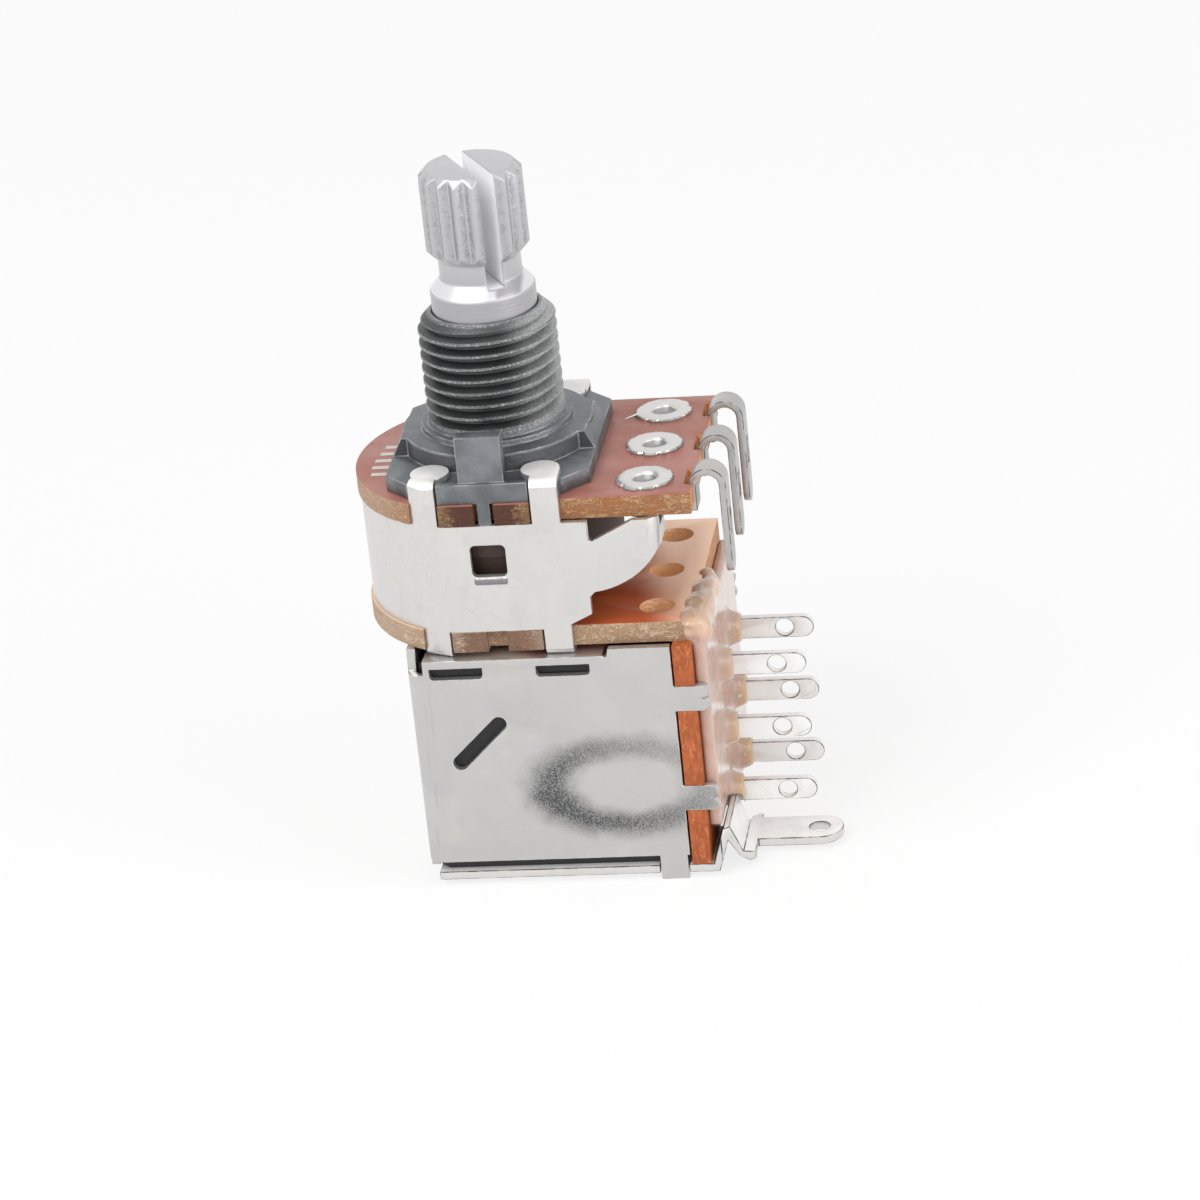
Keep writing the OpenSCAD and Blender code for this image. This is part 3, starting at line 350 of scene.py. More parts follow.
def turned_aluminium():
    """Satin aluminium: mottled grey between the knurl's teeth, darker walls below, and a pale
    painted reflection with a painted dark patch on the cone.
    """
    mat, shader = finish("turned_aluminium", ALUMINIUM, 0.85, 0.36)
    x, y, z = coordinates(mat)
    r = radius(mat, x, y)
    knurled = ramp(mat, z, KNURL_BOTTOM - 0.1, KNURL_BOTTOM + 0.1)
    groove = times(mat, knurled, ramp(mat, r, SHAFT_R - 0.06, SHAFT_R - 0.26),
                   ramp(mat, facing(mat, "Z"), 0.5, 0.3))
    mottle = ramp(mat, noise(mat, 0.3, (1, 1, 0.6), 6, 0.8), 0.38, 0.66)
    pits = ramp(mat, noise(mat, 0.12, detail=2), 0.66, 0.74)
    marks = noise(mat, 1.0, (0.25, 0.25, 9), 4)
    dull = times(mat, groove, ramp(mat, mottle, 0, 1, 0.35, 1.0))
    wall = times(mat, ramp(mat, facing(mat, "Z"), 0.3, 0.1),
                 ramp(mat, z, KNURL_BOTTOM, CONE_BOTTOM, 0, 0.75))
    # painted reflection: the cone is painted pale, with a painted dark reflection patch on its
    # front
    cone = times(mat, ramp(mat, facing(mat, "Z"), 0.3, 0.5),
                 ramp(mat, z, CONE_TOP + 0.35, CONE_TOP + 0.15),
                 ramp(mat, z, CONE_BOTTOM - 1.2, CONE_BOTTOM - 1.0))
    cone_dark_reflection = times(mat, cone, ramp(mat, y, 0, -0.5), ramp(mat, away(mat, x, CONE_DARK_REFLECTION_X), 0.8, 0.5))
    low = either(mat, wall, cone_dark_reflection)
    colour = blend(mat, times(mat, cone, 0.7), ALUMINIUM, ALUMINIUM_PAINTED_REFLECTION)
    colour = blend(mat, either(mat, dull, low), colour, ALUMINIUM_DULL_AND_DARK_REFLECTION)
    colour = blend(mat, times(mat, pits, ramp(mat, groove, 0, 1, 0.2, 0.8)), colour, ALUMINIUM_PIT_AND_SHADE)
    feed(mat, shader,
         Base_Color=colour,
         Roughness=ramp(mat, dull, 0, 1, 0.30, 0.5),
         Normal=bump(mat, calc(mat, "ADD", marks, times(mat, groove, mottle)), 0.02))
    return mat


def sawn_wall_painted_reflection():
    """Walls of the saw slot: matte with faint saw marks, and pale as a painted reflection."""
    mat, shader = finish("sawn_wall_painted_reflection", ALUMINIUM_PAINTED_REFLECTION, 0.0, 0.45)
    feed(mat, shader, Normal=bump(mat, noise(mat, 1.2, (0.3, 0.3, 6), 3), 0.02))
    return mat


def bright_aluminium():
    """Ridges and rims of the shaft, rubbed bright."""
    mat, _ = finish("bright_aluminium", ALUMINIUM_RIDGE, 0.7, 0.5)
    return mat


def cast_zinc():
    """Dull blue-grey casting: painted shade in the thread's valleys, crests pale with speckled wear
    and painted highlight, the right side painted lighter, and painted shade in the recesses.
    """
    mat, shader = finish("cast_zinc", ZINC, 0.8, 0.42)
    x, y, z = coordinates(mat)
    r = radius(mat, x, y)
    # thread: painted shade darkens the valleys; the crests are pale with speckled wear and a
    # painted highlight, and the bushing's end is painted pale as well
    thread = times(mat, ramp(mat, r, THREAD_R + 0.25, THREAD_R + 0.15),
                   ramp(mat, z, RIM_TOP + 0.2, RIM_TOP + 0.35))
    fine = noise(mat, 0.11, detail=6)
    speckle = ramp(mat, fine, 0.47, 0.66)
    end = times(mat, ramp(mat, z, CHAMFER_Z + 0.05, CHAMFER_Z + 0.15),
                ramp(mat, away(mat, r, END_GROOVE_R), 0.1, 0.2))
    crest = either(mat, ramp(mat, r, THREAD_R - 0.09, THREAD_R), times(mat, end, 0.6))
    # painted light: the bushing's right side is painted lighter, where light falls from the right
    right = times(mat, ramp(mat, x, 1.0, 3.3), ramp(mat, fine, 0.42, 0.6, 0.6, 1.0))
    light = either(mat, times(mat, crest, ramp(mat, speckle, 0, 1, 0.3, 1.0)), right)
    cloud = ramp(mat, noise(mat, 2.2, detail=5, warp=0.5), 0.35, 0.7)
    sides = ramp(mat, facing(mat, "Z"), 0.5, 0.2)
    smooth = blend(mat, cloud, ZINC, ZINC_PALE)
    grain = times(mat, sides, speckle, ramp(mat, r, BOSS_R + 0.75, BOSS_R + 0.35, 0.06, 0.3))
    # painted shade: the pockets beside the side blocks and the boss's side wall under its top are
    # painted dark
    pocket_shade = times(mat, ramp(mat, away(mat, x), BLOCK_X - 0.3, BLOCK_X),
                   ramp(mat, facing(mat, "Y"), 0.7, 0.9),
                   ramp(mat, z, PLATE_TOP - 0.1, PLATE_TOP + 0.1),
                   ramp(mat, away(mat, y), BLOCK_Y + 0.25, BLOCK_Y + 0.15))
    wall = times(mat, ramp(mat, r, BOSS_R + 0.25, BOSS_R + 0.05),
                 ramp(mat, z, BOSS_TOP - 0.1, BOSS_TOP - 0.2), sides, 0.75)
    body = blend(mat, either(mat, pocket_shade, wall), blend(mat, grain, smooth, ZINC_WEAR_AND_HIGHLIGHT), ZINC_RECESS_SHADE)
    colour = blend(mat, thread, body, blend(mat, light, ZINC_VALLEY_SHADE, ZINC_WEAR_AND_HIGHLIGHT))
    feed(mat, shader,
         Base_Color=colour,
         Roughness=ramp(mat, cloud, 0, 1, 0.38, 0.5),
         Normal=bump(mat, calc(mat, "ADD", fine, noise(mat, 0.5, detail=4)), 0.03))
    return mat


def worn_zinc():
    """Edges of the casting, rubbed and nicked."""
    mat, shader = finish("worn_zinc", ZINC_WEAR_AND_HIGHLIGHT, 0.9, 0.38)
    nicks = ramp(mat, noise(mat, 0.9, detail=7), 0.35, 0.7, 0.15, 0.75)
    feed(mat, shader, Base_Color=blend(mat, nicks, ZINC, ZINC_WEAR_AND_HIGHLIGHT),
         Normal=bump(mat, noise(mat, 0.15, detail=4), 0.04))
    return mat


def tin_plate(name, base=TIN, metal=0.85, stain=False):
    """Bright tin plate with clouds, hairline scratches and specks; the frame has its ring stain."""
    mat, shader = finish(name, base, metal, 0.3)
    cloud = ramp(mat, noise(mat, 3.5, detail=4, warp=0.8), 0.35, 0.7)
    specks = ramp(mat, noise(mat, 0.12, detail=2), 0.73, 0.78)
    smear = times(mat, ramp(mat, noise(mat, 1.3, detail=6, warp=1.0), 0.58, 0.75), 0.18)
    marks = either(mat, times(mat, specks, 0.45), times(mat, scratches(mat), 0.4))
    warm = ramp(mat, noise(mat, 3.0, detail=3, warp=0.6), 0.5, 0.72, 0, 0.2)
    cool = ramp(mat, noise(mat, 2.2, (1, 1, 0.6), 4, 0.8), 0.52, 0.7, 0, 0.16)
    colour = blend(mat, cool, blend(mat, warm, base, TIN_WARM), TIN_DULL)
    colour = blend(mat, either(mat, marks, smear), colour, TIN_DULL)
    rough = ramp(mat, cloud, 0.0, 1.0, 0.32, 0.42)
    if stain:
        x, y, z = coordinates(mat)
        front = ramp(mat, y, -FRAME_Y + 0.1, -FRAME_Y + 0.02)
        dx = calc(mat, "DIVIDE", calc(mat, "SUBTRACT", x, STAIN_X), STAIN_W)
        dz = calc(mat, "DIVIDE", calc(mat, "SUBTRACT", z, STAIN_Z), STAIN_H)
        wave = times(mat, calc(mat, "SUBTRACT", noise(mat, 1.3, detail=3), 0.5), 0.22)
        dist = calc(mat, "ADD", radius(mat, dx, dz), wave)
        fade = calc(mat, "ADD", times(mat, dx, 0.4), times(mat, dz, 0.22))
        side = calc(mat, "SUBTRACT", 0.80, fade)
        grains = ramp(mat, noise(mat, 0.075, detail=3), 0.34, 0.62, 0.5, 1.0)
        ring = times(mat, ramp(mat, dist, 0.40, 0.70), ramp(mat, dist, 1.14, 0.74),
                     side, grains, front)
        streaks = times(mat, ramp(mat, noise(mat, 0.3, (1, 1, 0.12), 4), 0.5, 0.68), front,
                        ramp(mat, x, FRAME_LEFT + 1.8, FRAME_LEFT + 0.8), 0.8)
        colour = blend(mat, streaks, colour, TIN_DULL)
        colour = blend(mat, ring, colour, TIN_STAIN)
        rough = calc(mat, "ADD", rough, times(mat, ring, 0.25))
    feed(mat, shader, Base_Color=colour, Roughness=rough,
         Normal=bump(mat, noise(mat, 0.8, detail=3), 0.006))
    return mat


def tin_edge(name, dark, pale):
    """Cut edges of a sheet, worn between a darker and a paler grey; on hooks, lugs and the base
    plate the darker grey is a painted dark reflection.
    """
    mat, shader = finish(name, dark, 1.0, 0.25)
    wear = ramp(mat, noise(mat, 0.6, detail=4), 0.42, 0.62)
    feed(mat, shader, Base_Color=blend(mat, wear, dark, pale))
    return mat


def window_lip():
    """Rolled lower lip of the band's window: speckled grey, with painted shade underneath."""
    mat, shader = finish("window_lip", TIN_DULL, 0.1, 0.6)
    z = coordinates(mat)[2]
    speck = ramp(mat, noise(mat, 0.12, detail=4), 0.4, 0.6)
    # painted shade on the lip's underside
    painted_shade_under = ramp(mat, z, WINDOW_BOTTOM - 0.06, WINDOW_BOTTOM - 0.16, 0, 0.9)
    grey = blend(mat, speck, TIN_DULL, TIN_PALE_AND_LIT_TOPS)
    feed(mat, shader, Base_Color=blend(mat, painted_shade_under, grey, ALUMINIUM_PIT_AND_SHADE))
    return mat


def fibres(mat):
    """Layers and short fibres that show on the cut edge of pressed paper board."""
    layers = noise(mat, 0.6, (0.6, 0.6, 1.5), detail=7, warp=1.5)
    short = noise(mat, 0.2, (0.8, 0.8, 1.2), detail=6, warp=2.5)
    return ramp(mat, calc(mat, "ADD", times(mat, layers, 0.4), times(mat, short, 0.6)), 0.42, 0.6)


def phenolic(name, face, face_2, edge, edge_2, nose, nose_2, gloss=0.4, pale_out=False):
    """Pressed paper board: a half-glossy face, a fibrous cut edge and brown nose blocks.

    With pale_out the face pales from its second colour, beside the band, to its first one at the
    terminals' end, and it is matte; a painted glow there and in its rivet holes stands in for light
    that passes through the board.
    """
    mat, shader = finish(name, face, 0.0, gloss, 0.35)
    x, y, _ = coordinates(mat)
    flat = ramp(mat, facing(mat, "Z"), 0.6, 0.8)
    cloud = ramp(mat, noise(mat, 2.5, detail=5), 0.35, 0.7)
    if pale_out:
        far = ramp(mat, calc(mat, "ADD", x, times(mat, y, 0.3)), 4.6, 11.0)
        cloud = times(mat, calc(mat, "SUBTRACT", 1.0, far), ramp(mat, cloud, 0, 1, 0.85, 1.0),
                      ramp(mat, x, 1.0, 3.0, 0.35, 1.0))
        cloud = ramp(mat, cloud, 0.0, 0.75)
        shader.inputs["Specular IOR Level"].default_value = 0.12
    grain = fibres(mat)
    # nose blocks, dark in their middle
    wide, deep = away(mat, x), away(mat, y)
    block = times(mat, ramp(mat, wide, NOSE_W / 2 + 0.1, NOSE_W / 2),
                  ramp(mat, deep, BAND_Y - 0.4, BAND_Y - 0.2))
    ends = ramp(mat, calc(mat, "ADD", wide, times(mat, grain, 0.5)), 1.9, 2.5)
    nose_colour = blend(mat, times(mat, ends, ramp(mat, grain, 0, 1, 0.35, 1)), nose, nose_2)
    edge_colour = blend(mat, block, blend(mat, grain, edge, edge_2), nose_colour)
    # the round end's edge is paler with wear, and the terminals' end is painted bright orange: the
    # board's own orange plus painted light on its shaded notch walls
    old = times(mat, ramp(mat, x, -2.5, -7.0), 0.5)
    edge_colour = blend(mat, old, edge_colour, BOARD_WORN)
    notch = times(mat, ramp(mat, x, NOTCH_X, NOTCH_X + 0.1),
                  ramp(mat, deep, NOTCH_Y + 0.1, NOTCH_Y))
    edge_colour = blend(mat, notch, edge_colour, NOTCH_ORANGE_AND_LIGHT)
    face_colour = blend(mat, cloud, face, face_2)
    if pale_out:
        hole = times(mat, ramp(mat, away(mat, x, RIVET_X), HOLE_R + 0.3, HOLE_R + 0.2),
                     ramp(mat, deep, RIVET_PITCH + 1.4, RIVET_PITCH + 1.3), ramp(mat, flat, 0.5, 0))
        edge_colour = blend(mat, hole, edge_colour, blend(mat, grain, HOLE_GLOW_ORANGE, face))
        # painted glow: emission on the face towards the terminals' end and in the rivet holes
        # stands in for light that passes through the board
        lit = either(mat, times(mat, flat, ramp(mat, far, 0, 1, 0.08, 0.2)), times(mat, hole, 0.14))
        feed(mat, shader, Emission_Color=blend(mat, hole, face_colour, HOLE_GLOW_ORANGE),
             Emission_Strength=times(mat, lit, ramp(mat, x, 4.0, 6.0)))
        face_colour = blend(mat, ramp(mat, x, 2.0, 0.0), face_colour, edge_2)
    rough_edge = calc(mat, "SUBTRACT", 1.0, flat)
    feed(mat, shader,
         Base_Color=blend(mat, flat, edge_colour, face_colour),
         Roughness=ramp(mat, flat, 0.0, 1.0, 0.7, gloss),
         Normal=bump(mat, times(mat, grain, ramp(mat, rough_edge, 0, 1, 0.06, 1.0)), 0.05))
    return mat


def board_strip():
    """Bright orange board with long fibres and pale streaks."""
    mat, shader = finish("orange_phenolic", ORANGE, 0.0, 0.4, 0.35)
    grain = ramp(mat, noise(mat, 0.35, (1.2, 1.2, 0.45), detail=6, warp=1.2), 0.4, 0.62)
    pale = ramp(mat, noise(mat, 0.22, (1.2, 1.2, 0.35), detail=5, warp=0.8), 0.52, 0.7, 0, 0.4)
    colour = blend(mat, pale, blend(mat, grain, ORANGE, ORANGE_DEEP), ORANGE_PALE)
    feed(mat, shader, Base_Color=colour, Normal=bump(mat, grain, 0.03))
    return mat


def clear_resin():
    """Cloudy casting resin: pinkish on the board, yellowish round the lugs, creamy on the wafer."""
    mat, shader = finish("clear_resin", RESIN, 0.0, 0.15)
    x, _, z = coordinates(mat)
    cloud = ramp(mat, noise(mat, 1.8, detail=3), 0.35, 0.65)
    bubbles = ramp(mat, noise(mat, 0.3, detail=1), 0.70, 0.78)
    pits = ramp(mat, noise(mat, 0.16, detail=1), 0.76, 0.80)
    shader.inputs["Transmission Weight"].default_value = 0.12
    shader.inputs["Subsurface Weight"].default_value = 0.6
    shader.inputs["Subsurface Radius"].default_value = (1.0, 0.6, 0.45)
    shader.inputs["Subsurface Scale"].default_value = 0.8 * MM
    shader.inputs["Coat Weight"].default_value = 0.4
    shader.inputs["Coat Roughness"].default_value = 0.06
    colour = blend(mat, cloud, RESIN, RESIN_PINK)
    collar = times(mat, ramp(mat, x, RESIN_FACE, RESIN_FACE + 0.8),
                   ramp(mat, cloud, 0, 1, 0.5, 1.0))
    colour = blend(mat, collar, colour, RESIN_YELLOW)
    colour = blend(mat, ramp(mat, z, LOWER_TOP - 1.2, LOWER_TOP - 0.6, 0, 0.8), colour, RESIN_CREAM)
    colour = blend(mat, times(mat, bubbles, 0.7), colour, RESIN_BUBBLE)
    colour = blend(mat, pits, colour, NOSE_FIBRE)
    height = calc(mat, "ADD", noise(mat, 0.9, detail=3), times(mat, bubbles, 0.15))
    feed(mat, shader, Base_Color=colour, Normal=bump(mat, height, 0.08))
    return mat


def plain(name, colour, metal=0.0, rough=0.5):
    """A plain finish with a faint grain."""
    mat, shader = finish(name, colour, metal, rough)
    feed(mat, shader, Normal=bump(mat, noise(mat, 0.2, detail=3), 0.01))
    return mat


def select_none():
    """Deselects everything, so that a new shape is selected alone."""
    bpy.ops.object.select_all(action="DESELECT")


def select_only(piece, *others):
    """Selects these alone; the first is the active one."""
    select_none()
    for one in (piece, *others):
        one.select_set(True)
    bpy.context.view_layer.objects.active = piece


def join(piece, *others):
    """Makes one piece of several."""
    select_only(piece, *others)
    bpy.ops.object.join()


def apply_modifier(piece, modifier):
    """Applies a modifier to its piece."""
    select_only(piece)
    bpy.ops.object.modifier_apply(modifier=modifier.name)


def solid_copy(node_name, piece_name, materials):
    """A copy of a solid's mesh with its loose triangles merged and its flat faces made whole."""
    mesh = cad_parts[node_name].data.copy()
    mesh.materials.clear()
    for mat in materials:
        mesh.materials.append(mat)
    piece = bpy.data.objects.new(piece_name, mesh)
    bpy.context.collection.objects.link(piece)
    select_only(piece)
    bpy.ops.object.mode_set(mode="EDIT")
    bpy.ops.mesh.select_all(action="SELECT")
    bpy.ops.mesh.remove_doubles(threshold=0.002 * MM)
    bpy.ops.mesh.dissolve_limited(angle_limit=math.radians(0.5))
    bpy.ops.mesh.customdata_custom_splitnormals_clear()
    bpy.ops.object.mode_set(mode="OBJECT")
    return piece


def round_edges(piece, width, segments=2):
    """Rounds the sharp edges; they take the piece's second material, where it has one."""
    bevel = piece.modifiers.new("rounded", "BEVEL")
    bevel.width = width * MM
    bevel.segments = segments
    bevel.limit_method = "ANGLE"
    bevel.angle_limit = math.radians(SHARP)
    bevel.use_clamp_overlap = False
    bevel.material = 1 if len(piece.data.materials) > 1 else -1
    apply_modifier(piece, bevel)


def mount(piece, body, solids, smooth=SHARP):
    """Shades a piece and puts it on its body in place of its solids."""
    select_only(piece)
    bpy.ops.object.shade_smooth_by_angle(angle=math.radians(smooth))
    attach(piece, body)
    if solids:
        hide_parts(*solids)


def dress(node_name, mat):
    """Gives a solid that is shown as it is its finish."""
    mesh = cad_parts[node_name].data
    mesh.materials.clear()
    mesh.materials.append(mat)


def sheet_piece(node_name, piece_name, materials, width=0.05):
    """A solid of the housing with rounded edges; a third material, if any, goes on upward faces as
    painted light.
    """
    piece = solid_copy(node_name, piece_name, materials)
    round_edges(piece, width)
    if len(materials) > 2:
        for face in piece.data.polygons:
            if face.material_index == 0 and face.normal.z > 0.3:
                face.material_index = 2
    mount(piece, "housing", [node_name])


def knurled_shaft(materials):
    """The shaft with rubbed ridges, and a saw slot whose walls and floor are pale as a painted
    reflection.
    """
    piece = solid_copy("shaft", "knurled_shaft", materials)
    round_edges(piece, 0.07)
    turn = math.radians(SLOT_TURN)
    across = Vector((-math.sin(turn), math.cos(turn), 0))
    for face in piece.data.polygons:
        near = abs(face.center.dot(across)) < (SLOT_W / 2 + 0.02) * MM
        wall = near and abs(face.normal.dot(across)) > 0.98 and face.center.z > SLOT_BOTTOM * MM
        if wall or (near and face.normal.z > 0.98 and face.center.z < (SLOT_BOTTOM + 0.02) * MM):
            face.material_index = 2
    mount(piece, "shaft", ["shaft"])


def tin_band(materials):
    """The band: its plate, its edges, the rolled lip of its window and the heads of its tabs, whose
    upward faces are painted paler as painted light.
    """
    piece = solid_copy("case_band", "tin_band", materials)
    round_edges(piece, 0.04)
    # painted light: upward faces of the tab heads take a paler, less metallic tin
    for face in piece.data.polygons:
        if face.center.z > TAB_HEADS_Z * MM and face.normal.z > 0.2:
            face.material_index = 3
    select_none()
    bpy.ops.mesh.primitive_cylinder_add(vertices=24, radius=LIP_R * MM, depth=LIP_W * MM,
                                        rotation=(0, math.pi / 2, 0))
    lip = bpy.context.object
    lip.location = Vector(LIP_AT) * MM
    bpy.ops.object.transform_apply(location=True, rotation=True)
    lip.data.materials.append(materials[2])
    round_edges(lip, 0.12, segments=3)
    join(piece, lip)
    mount(piece, "housing", ["case_band"])


def thread_tool():
    """The ridge that cuts the thread: a blunt V swept along a right-hand helix."""
    outer = THREAD_R + THREAD_CUT_CLEAR
    corners = ((THREAD_ROOT_R, THREAD_ROOT_H), (THREAD_ROOT_R, -THREAD_ROOT_H),
               (outer, -THREAD_CUT_H), (outer, THREAD_CUT_H))
    select_none()
    bpy.ops.mesh.primitive_circle_add(vertices=len(corners), radius=MM, fill_type="NOTHING")
    tool = bpy.context.object
    for vertex, (r, z) in zip(tool.data.vertices, corners):
        vertex.co = Vector((0, r, THREAD_START + z)) * MM
    screw = tool.modifiers.new("helix", "SCREW")
    screw.axis = "Z"
    screw.screw_offset = THREAD_PITCH * MM
    screw.iterations = THREAD_TURNS
    screw.steps = screw.render_steps = THREAD_STEPS
    screw.use_merge_vertices = False
    apply_modifier(tool, screw)
    bpy.ops.object.mode_set(mode="EDIT")
    bpy.ops.mesh.select_all(action="SELECT")
    bpy.ops.mesh.fill_holes(sides=4)
    bpy.ops.mesh.select_all(action="SELECT")
    bpy.ops.mesh.normals_make_consistent(inside=False)
    bpy.ops.object.mode_set(mode="OBJECT")
    return tool


def threaded_bushing(materials):
    """The casting with its thread cut into the plain cylinder of the solid."""
    piece = solid_copy("bushing_plate", "threaded_bushing", materials)
    round_edges(piece, 0.06)
    tool = thread_tool()
    cut = piece.modifiers.new("thread", "BOOLEAN")
    cut.operation = "DIFFERENCE"
    cut.solver = "EXACT"
    cut.object = tool
    apply_modifier(piece, cut)
    bpy.data.objects.remove(tool)
    mount(piece, "housing", ["bushing_plate"], smooth=25)


def resin_drops():
    """Places and half sizes of the drops that crept over the lower wafer's end and front corner."""
    seed = random.Random(7)
    drops = []
    for _ in range(22):
        y = seed.uniform(-6.8, -2.2)
        thin = (seed.uniform(0.5, 0.8), seed.uniform(0.9, 1.5), seed.uniform(0.26, 0.34))
        drops.append(((DROPS_X - seed.uniform(0.0, 0.7), y, LOWER_TOP - 0.1), thin))
    drops.append(((DROPS_X - 0.3, -0.6, LOWER_TOP - 0.1), (0.5, 0.6, 0.35)))
    for k in range(11):
        round_drop = (seed.uniform(0.4, 0.6), 0.7, seed.uniform(0.7, 0.95))
        drops.append(((DROPS_X + 0.1, -6.9 + 0.6 * k, LOWER_TOP - 0.8), round_drop))
    for _ in range(7):
        lump = (seed.uniform(0.35, 0.6), seed.uniform(0.25, 0.4), seed.uniform(0.35, 0.6))
        spot = (DROPS_X - seed.uniform(0.0, 0.8), -7.15, LOWER_TOP - seed.uniform(0.1, 1.1))
        drops.append((spot, lump))
    return drops


def resin_mass(mat):
    """The resin as it sets: soft and uneven, flowed together with the drops over the wafer."""
    piece = solid_copy("lug_resin", "resin_mass", [mat])
    drops = []
    for spot, size in resin_drops():
        select_none()
        bpy.ops.mesh.primitive_uv_sphere_add(segments=20, ring_count=12, radius=MM)
        drop = bpy.context.object
        drop.scale = size
        drop.location = Vector(spot) * MM
        bpy.ops.object.transform_apply(location=True, scale=True)
        drop.data.materials.append(mat)
        drops.append(drop)
    join(piece, *drops)
    piece.data.remesh_voxel_size = RESIN_VOXEL * MM
    bpy.ops.object.voxel_remesh()
    soft = piece.modifiers.new("soft", "SMOOTH")
    soft.factor = 0.8
    soft.iterations = 16
    apply_modifier(piece, soft)
    mount(piece, "housing", ["lug_resin"], smooth=180)


def rivet_flange(middle):
    """The rivet's round form: up at the rim, over the flange and down its funnel to a blind end."""
    select_none()
    bpy.ops.mesh.primitive_circle_add(vertices=RIVET_STEPS, radius=RIVET_R * MM,
                                      fill_type="NOTHING", location=middle)
    rivet = bpy.context.object
    bpy.ops.object.transform_apply(location=True)
    last_r = RIVET_R
    last_z = 0.0
    bpy.ops.object.mode_set(mode="EDIT")
    bpy.ops.mesh.select_all(action="SELECT")
    for r, z in RIVET_RINGS:
        bpy.ops.mesh.extrude_edges_move(TRANSFORM_OT_translate={"value": (0, 0, (z - last_z) * MM)})
        bpy.ops.transform.resize(value=(r / last_r, r / last_r, 1), center_override=middle)
        last_r, last_z = r, z
    bpy.ops.mesh.select_all(action="SELECT")
    bpy.ops.mesh.normals_make_consistent(inside=False)
    bpy.ops.object.mode_set(mode="OBJECT")
    return rivet


def loose_sliver(mat):
    """A splinter of metal that stands off the back rivet's rim."""
    select_none()
    bpy.ops.mesh.primitive_cone_add(vertices=8, radius1=0.09 * MM, radius2=0.02 * MM,
                                    depth=1.0 * MM)
    sliver = bpy.context.object
    sliver.rotation_euler = (math.radians(90), 0, math.radians(SLIVER_TURN))
    sliver.location = Vector(SLIVER_AT) * MM
    bpy.ops.object.transform_apply(location=True, rotation=True)
    sliver.data.materials.append(mat)
    return sliver


def torn_rivet(i, materials):
    """A tubular rivet, torn and uneven at the rim; rim and funnel take a darker grey as painted
    shade.
    """
    middle = Vector((RIVET_X, i * RIVET_PITCH, UPPER_TOP)) * MM
    rivet = rivet_flange(middle)
    seed = random.Random(40 + i)
    tears = [seed.uniform(-0.07, 0.03) for _ in range(RIVET_STEPS)]
    for k in seed.sample(range(RIVET_STEPS), RIVET_TEARS):
        tears[k] -= seed.uniform(0.08, 0.2)
    for k, vertex in enumerate(rivet.data.vertices):
        ring, step = divmod(k, RIVET_STEPS)
        if ring < len(RIVET_TEAR_SHARES):
            out = Vector((vertex.co.x - middle.x, vertex.co.y - middle.y, 0)).normalized()
            vertex.co += out * tears[step] * MM * RIVET_TEAR_SHARES[ring]
    rivet.name = "torn_rivet_%d" % (i + 2)
    for mat in materials:
        rivet.data.materials.append(mat)
    for face in rivet.data.polygons:
        if not SHINY_INSIDE * MM < (face.center - middle).length < SHINY_OUTSIDE * MM:
            face.material_index = 1
    if i == 1:
        join(rivet, loose_sliver(materials[0]))
    mount(rivet, "housing", ["terminal_rivets"], smooth=60)


def print_marks(mat):
    """A row of plain white strokes printed on the upper wafer beside the plate."""
    half_l, half_w = STROKE_HALF
    first_x, first_y = STROKE_FIRST
    marks = []
    for k in range(STROKES):
        select_none()
        bpy.ops.mesh.primitive_plane_add(size=MM)
        mark = bpy.context.object
        x = first_x + 0.02 * k + 0.12 * abs(k - 1.5)
        y = first_y + STROKE_PITCH * k
        corners = ((-half_l, -half_w), (half_l, -half_w), (-half_l, half_w), (half_l, half_w))
        for vertex, (dx, dy) in zip(mark.data.vertices, corners):
            vertex.co = Vector((x + dx, y + dy, UPPER_TOP + INK_RISE)) * MM
        marks.append(mark)
    join(*marks)
    marks[0].name = "print_marks"
    marks[0].data.materials.append(mat)
    mount(marks[0], "housing", [])


def set_camera():
    """The camera at the photo's angle."""
    turn, rise, roll = (math.radians(a) for a in (VIEW_TURN, VIEW_RISE, VIEW_ROLL))
    level = math.cos(rise)
    back = Vector((math.sin(turn) * level, -math.cos(turn) * level, math.sin(rise)))
    camera = bpy.data.objects.new("camera", bpy.data.cameras.new("camera"))
    bpy.context.collection.objects.link(camera)
    camera.location = VIEW_TARGET + back * VIEW_DISTANCE
    camera.rotation_mode = "QUATERNION"
    camera.rotation_quaternion = (-back).to_track_quat("-Z", "Y") @ Quaternion((0, 0, 1), roll)
    camera.data.lens = VIEW_LENS
    camera.data.sensor_width = SENSOR
    camera.data.clip_start = 0.01
    camera.data.clip_end = 10
    bpy.context.scene.camera = camera


def white_floor():
    """The floor that the part stands on: white to the camera and in mirrors, with its shadow."""
    select_none()
    bpy.ops.mesh.primitive_plane_add(size=4, location=(0, 0, FLOOR_Z * MM))
    floor = bpy.context.object
    floor.name = "floor"
    mat, shader = finish("floor_white", FLOOR_WHITE, 0.0, 0.9)
    path = add_node(mat, "ShaderNodeLightPath").outputs
    mirrored = either(mat, path["Is Glossy Ray"], path["Is Transmission Ray"])
    seen = either(mat, mirrored, times(mat, path["Is Camera Ray"], FLOOR_OWN_WHITE))
    glow = add_node(mat, "ShaderNodeEmission", Color=WHITE, Strength=1.0)
    mixed = add_node(mat, "ShaderNodeMixShader", _0=seen, _1=shader.outputs[0], _2=glow.outputs[0])
    mat.node_tree.links.new(mixed.outputs[0], mat.node_tree.nodes["Material Output"].inputs[0])
    floor.data.materials.append(mat)


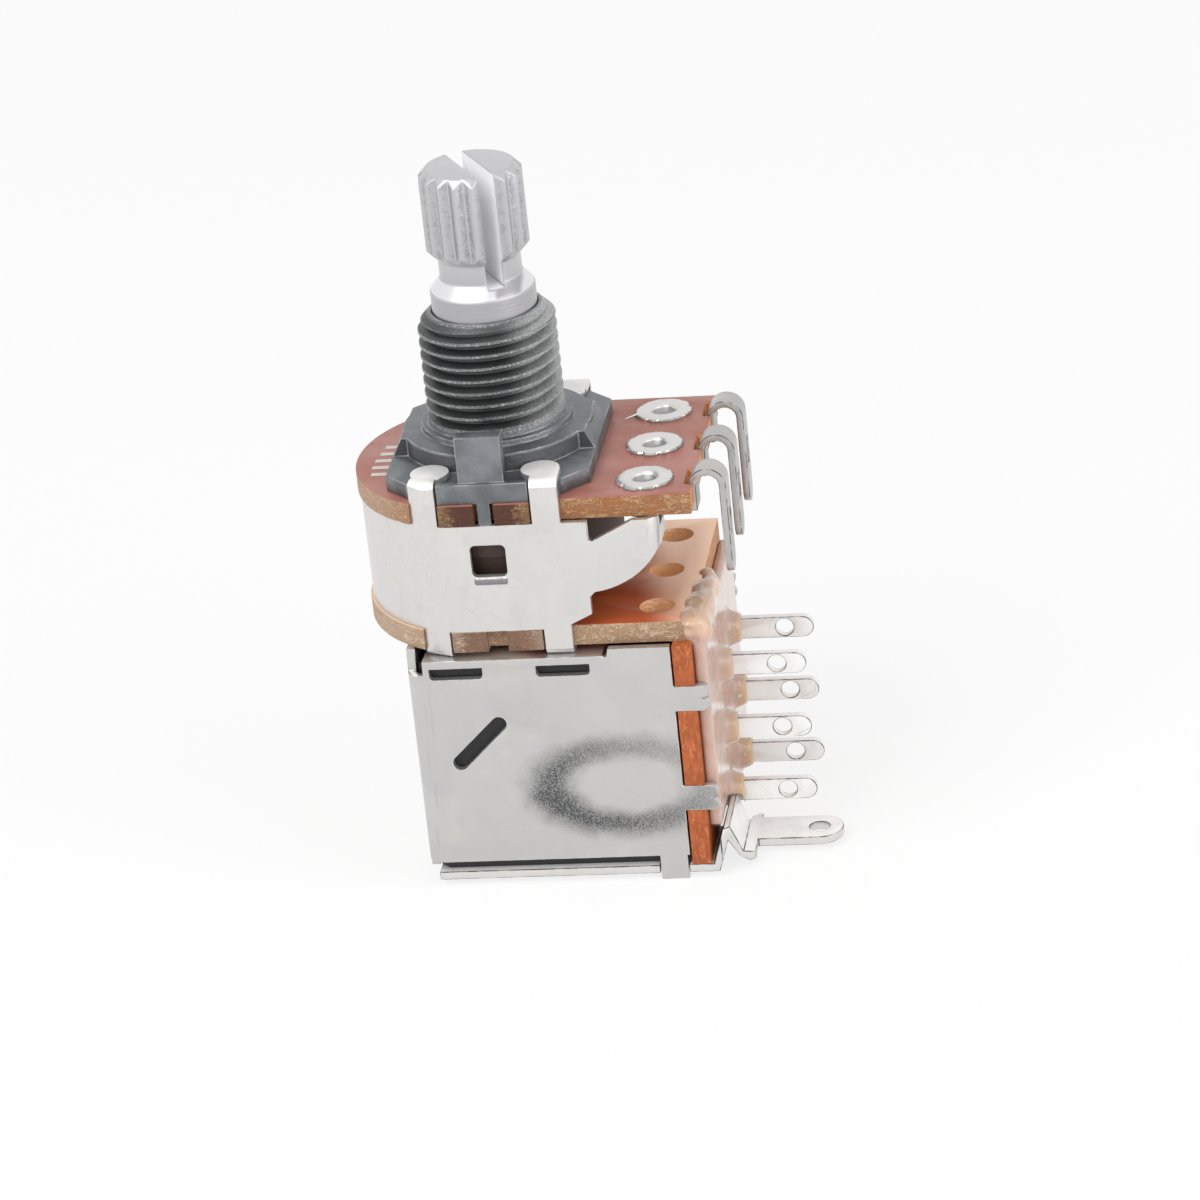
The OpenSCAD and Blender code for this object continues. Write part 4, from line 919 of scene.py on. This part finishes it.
def soft_light():
    """A white world, which lights at a lower level than it shows, and two soft lamps."""
    world = bpy.data.worlds.new("studio_white")
    bpy.context.scene.world = world
    world.use_nodes = True
    background = world.node_tree.nodes["Background"]
    path = add_node(world, "ShaderNodeLightPath").outputs
    mirrored = either(world, path["Is Glossy Ray"], path["Is Transmission Ray"])
    seen = either(world, path["Is Camera Ray"], mirrored)
    level = ramp(world, seen, 0, 1, WORLD_LEVEL, 1.0)
    world.node_tree.links.new(level, background.inputs["Strength"])
    background.inputs["Color"].default_value = WHITE

    for name, spot, size, power in LAMPS:
        lamp = bpy.data.objects.new(name, bpy.data.lights.new(name, "AREA"))
        lamp.data.energy = power
        lamp.data.size = size
        lamp.location = spot
        lamp.rotation_euler = (VIEW_TARGET - Vector(spot)).to_track_quat("-Z", "Y").to_euler()
        bpy.context.collection.objects.link(lamp)


bpy.context.scene.view_settings.view_transform = "Standard"
set_camera()
white_floor()
soft_light()

tin = tin_plate("tin_plate")
strip = tin_plate("plated_strip", STRIP, 1.0)
lug_tin_and_lit_tops = tin_plate("lug_tin_and_lit_tops", TIN_PALE_AND_LIT_TOPS, 0.35)
edge = tin_edge("tin_edge", TIN_DULL, TIN)
# painted dark reflection on the bevelled edges, with some wear
strip_edge_dark_reflection = tin_edge("strip_edge_dark_reflection", STRIP_EDGE_DARK_REFLECTION, TIN_DULL)
funnel = plain("rivet_funnel_shade", FUNNEL_SHADE, 0.6, 0.45)
orange = board_strip()
brass = plain("spring_brass", BRASS, 1.0, 0.3)
steel = plain("spring_steel", TIN_DULL, 1.0, 0.3)
black = plain("black_plastic", BLACK, rough=0.45)

knurled_shaft([turned_aluminium(), bright_aluminium(), sawn_wall_painted_reflection()])
threaded_bushing([cast_zinc(), worn_zinc()])
sheet_piece("upper_wafer", "red_wafer", [phenolic(
    "red_phenolic", RED_FACE, RED_FACE_PALE, RED_EDGE, RED_EDGE_PALE, NOSE_BROWN, NOSE_FIBRE)])
sheet_piece("lower_wafer", "tan_wafer", [phenolic(
    "tan_phenolic", TAN_FACE, TAN_FACE_DEEP, TAN_EDGE, TAN_EDGE_PALE, LOW_NOSE, LOW_NOSE_PALE,
    pale_out=True)])
tin_band([tin, edge, window_lip(), tin_plate("tab_tin_painted_light", TIN_PALE_AND_LIT_TOPS, 0.2)])
sheet_piece("switch_frame", "tin_frame",
            [tin_plate("stained_tin_plate", TIN_FRAME, stain=True), edge])
# the base plate's upward faces take the paler lug tin as painted light
sheet_piece("base_plate", "tin_base", [tin, strip_edge_dark_reflection, lug_tin_and_lit_tops])
sheet_piece("terminal_board", "orange_board", [orange], 0.04)
for n in range(1, 4):
    sheet_piece("terminal_%d" % n, "hook_%d" % n, [strip, strip_edge_dark_reflection])
for n in range(1, 7):
    sheet_piece("switch_lug_%d" % n, "solder_lug_%d" % n, [lug_tin_and_lit_tops, strip_edge_dark_reflection])
resin_mass(clear_resin())
for n in (-1, 0, 1):
    torn_rivet(n, [tin, funnel])
print_marks(plain("white_ink", PRINT_WHITE, rough=0.7))
for node, mat in (
    ("resistive_track", plain("carbon_track", CARBON, rough=0.8)),
    ("collector_ring", plain("silver_ink", SILVER_INK, rough=0.6)),
    ("rotor", plain("brown_plastic", BROWN, rough=0.6)),
    ("wiper", brass), ("switch_body", black), ("slide_carriage", black), ("fork_clip", steel),
    ("bridge_front", brass), ("bridge_back", brass), ("detent_spring", steel),
):
    dress(node, mat)
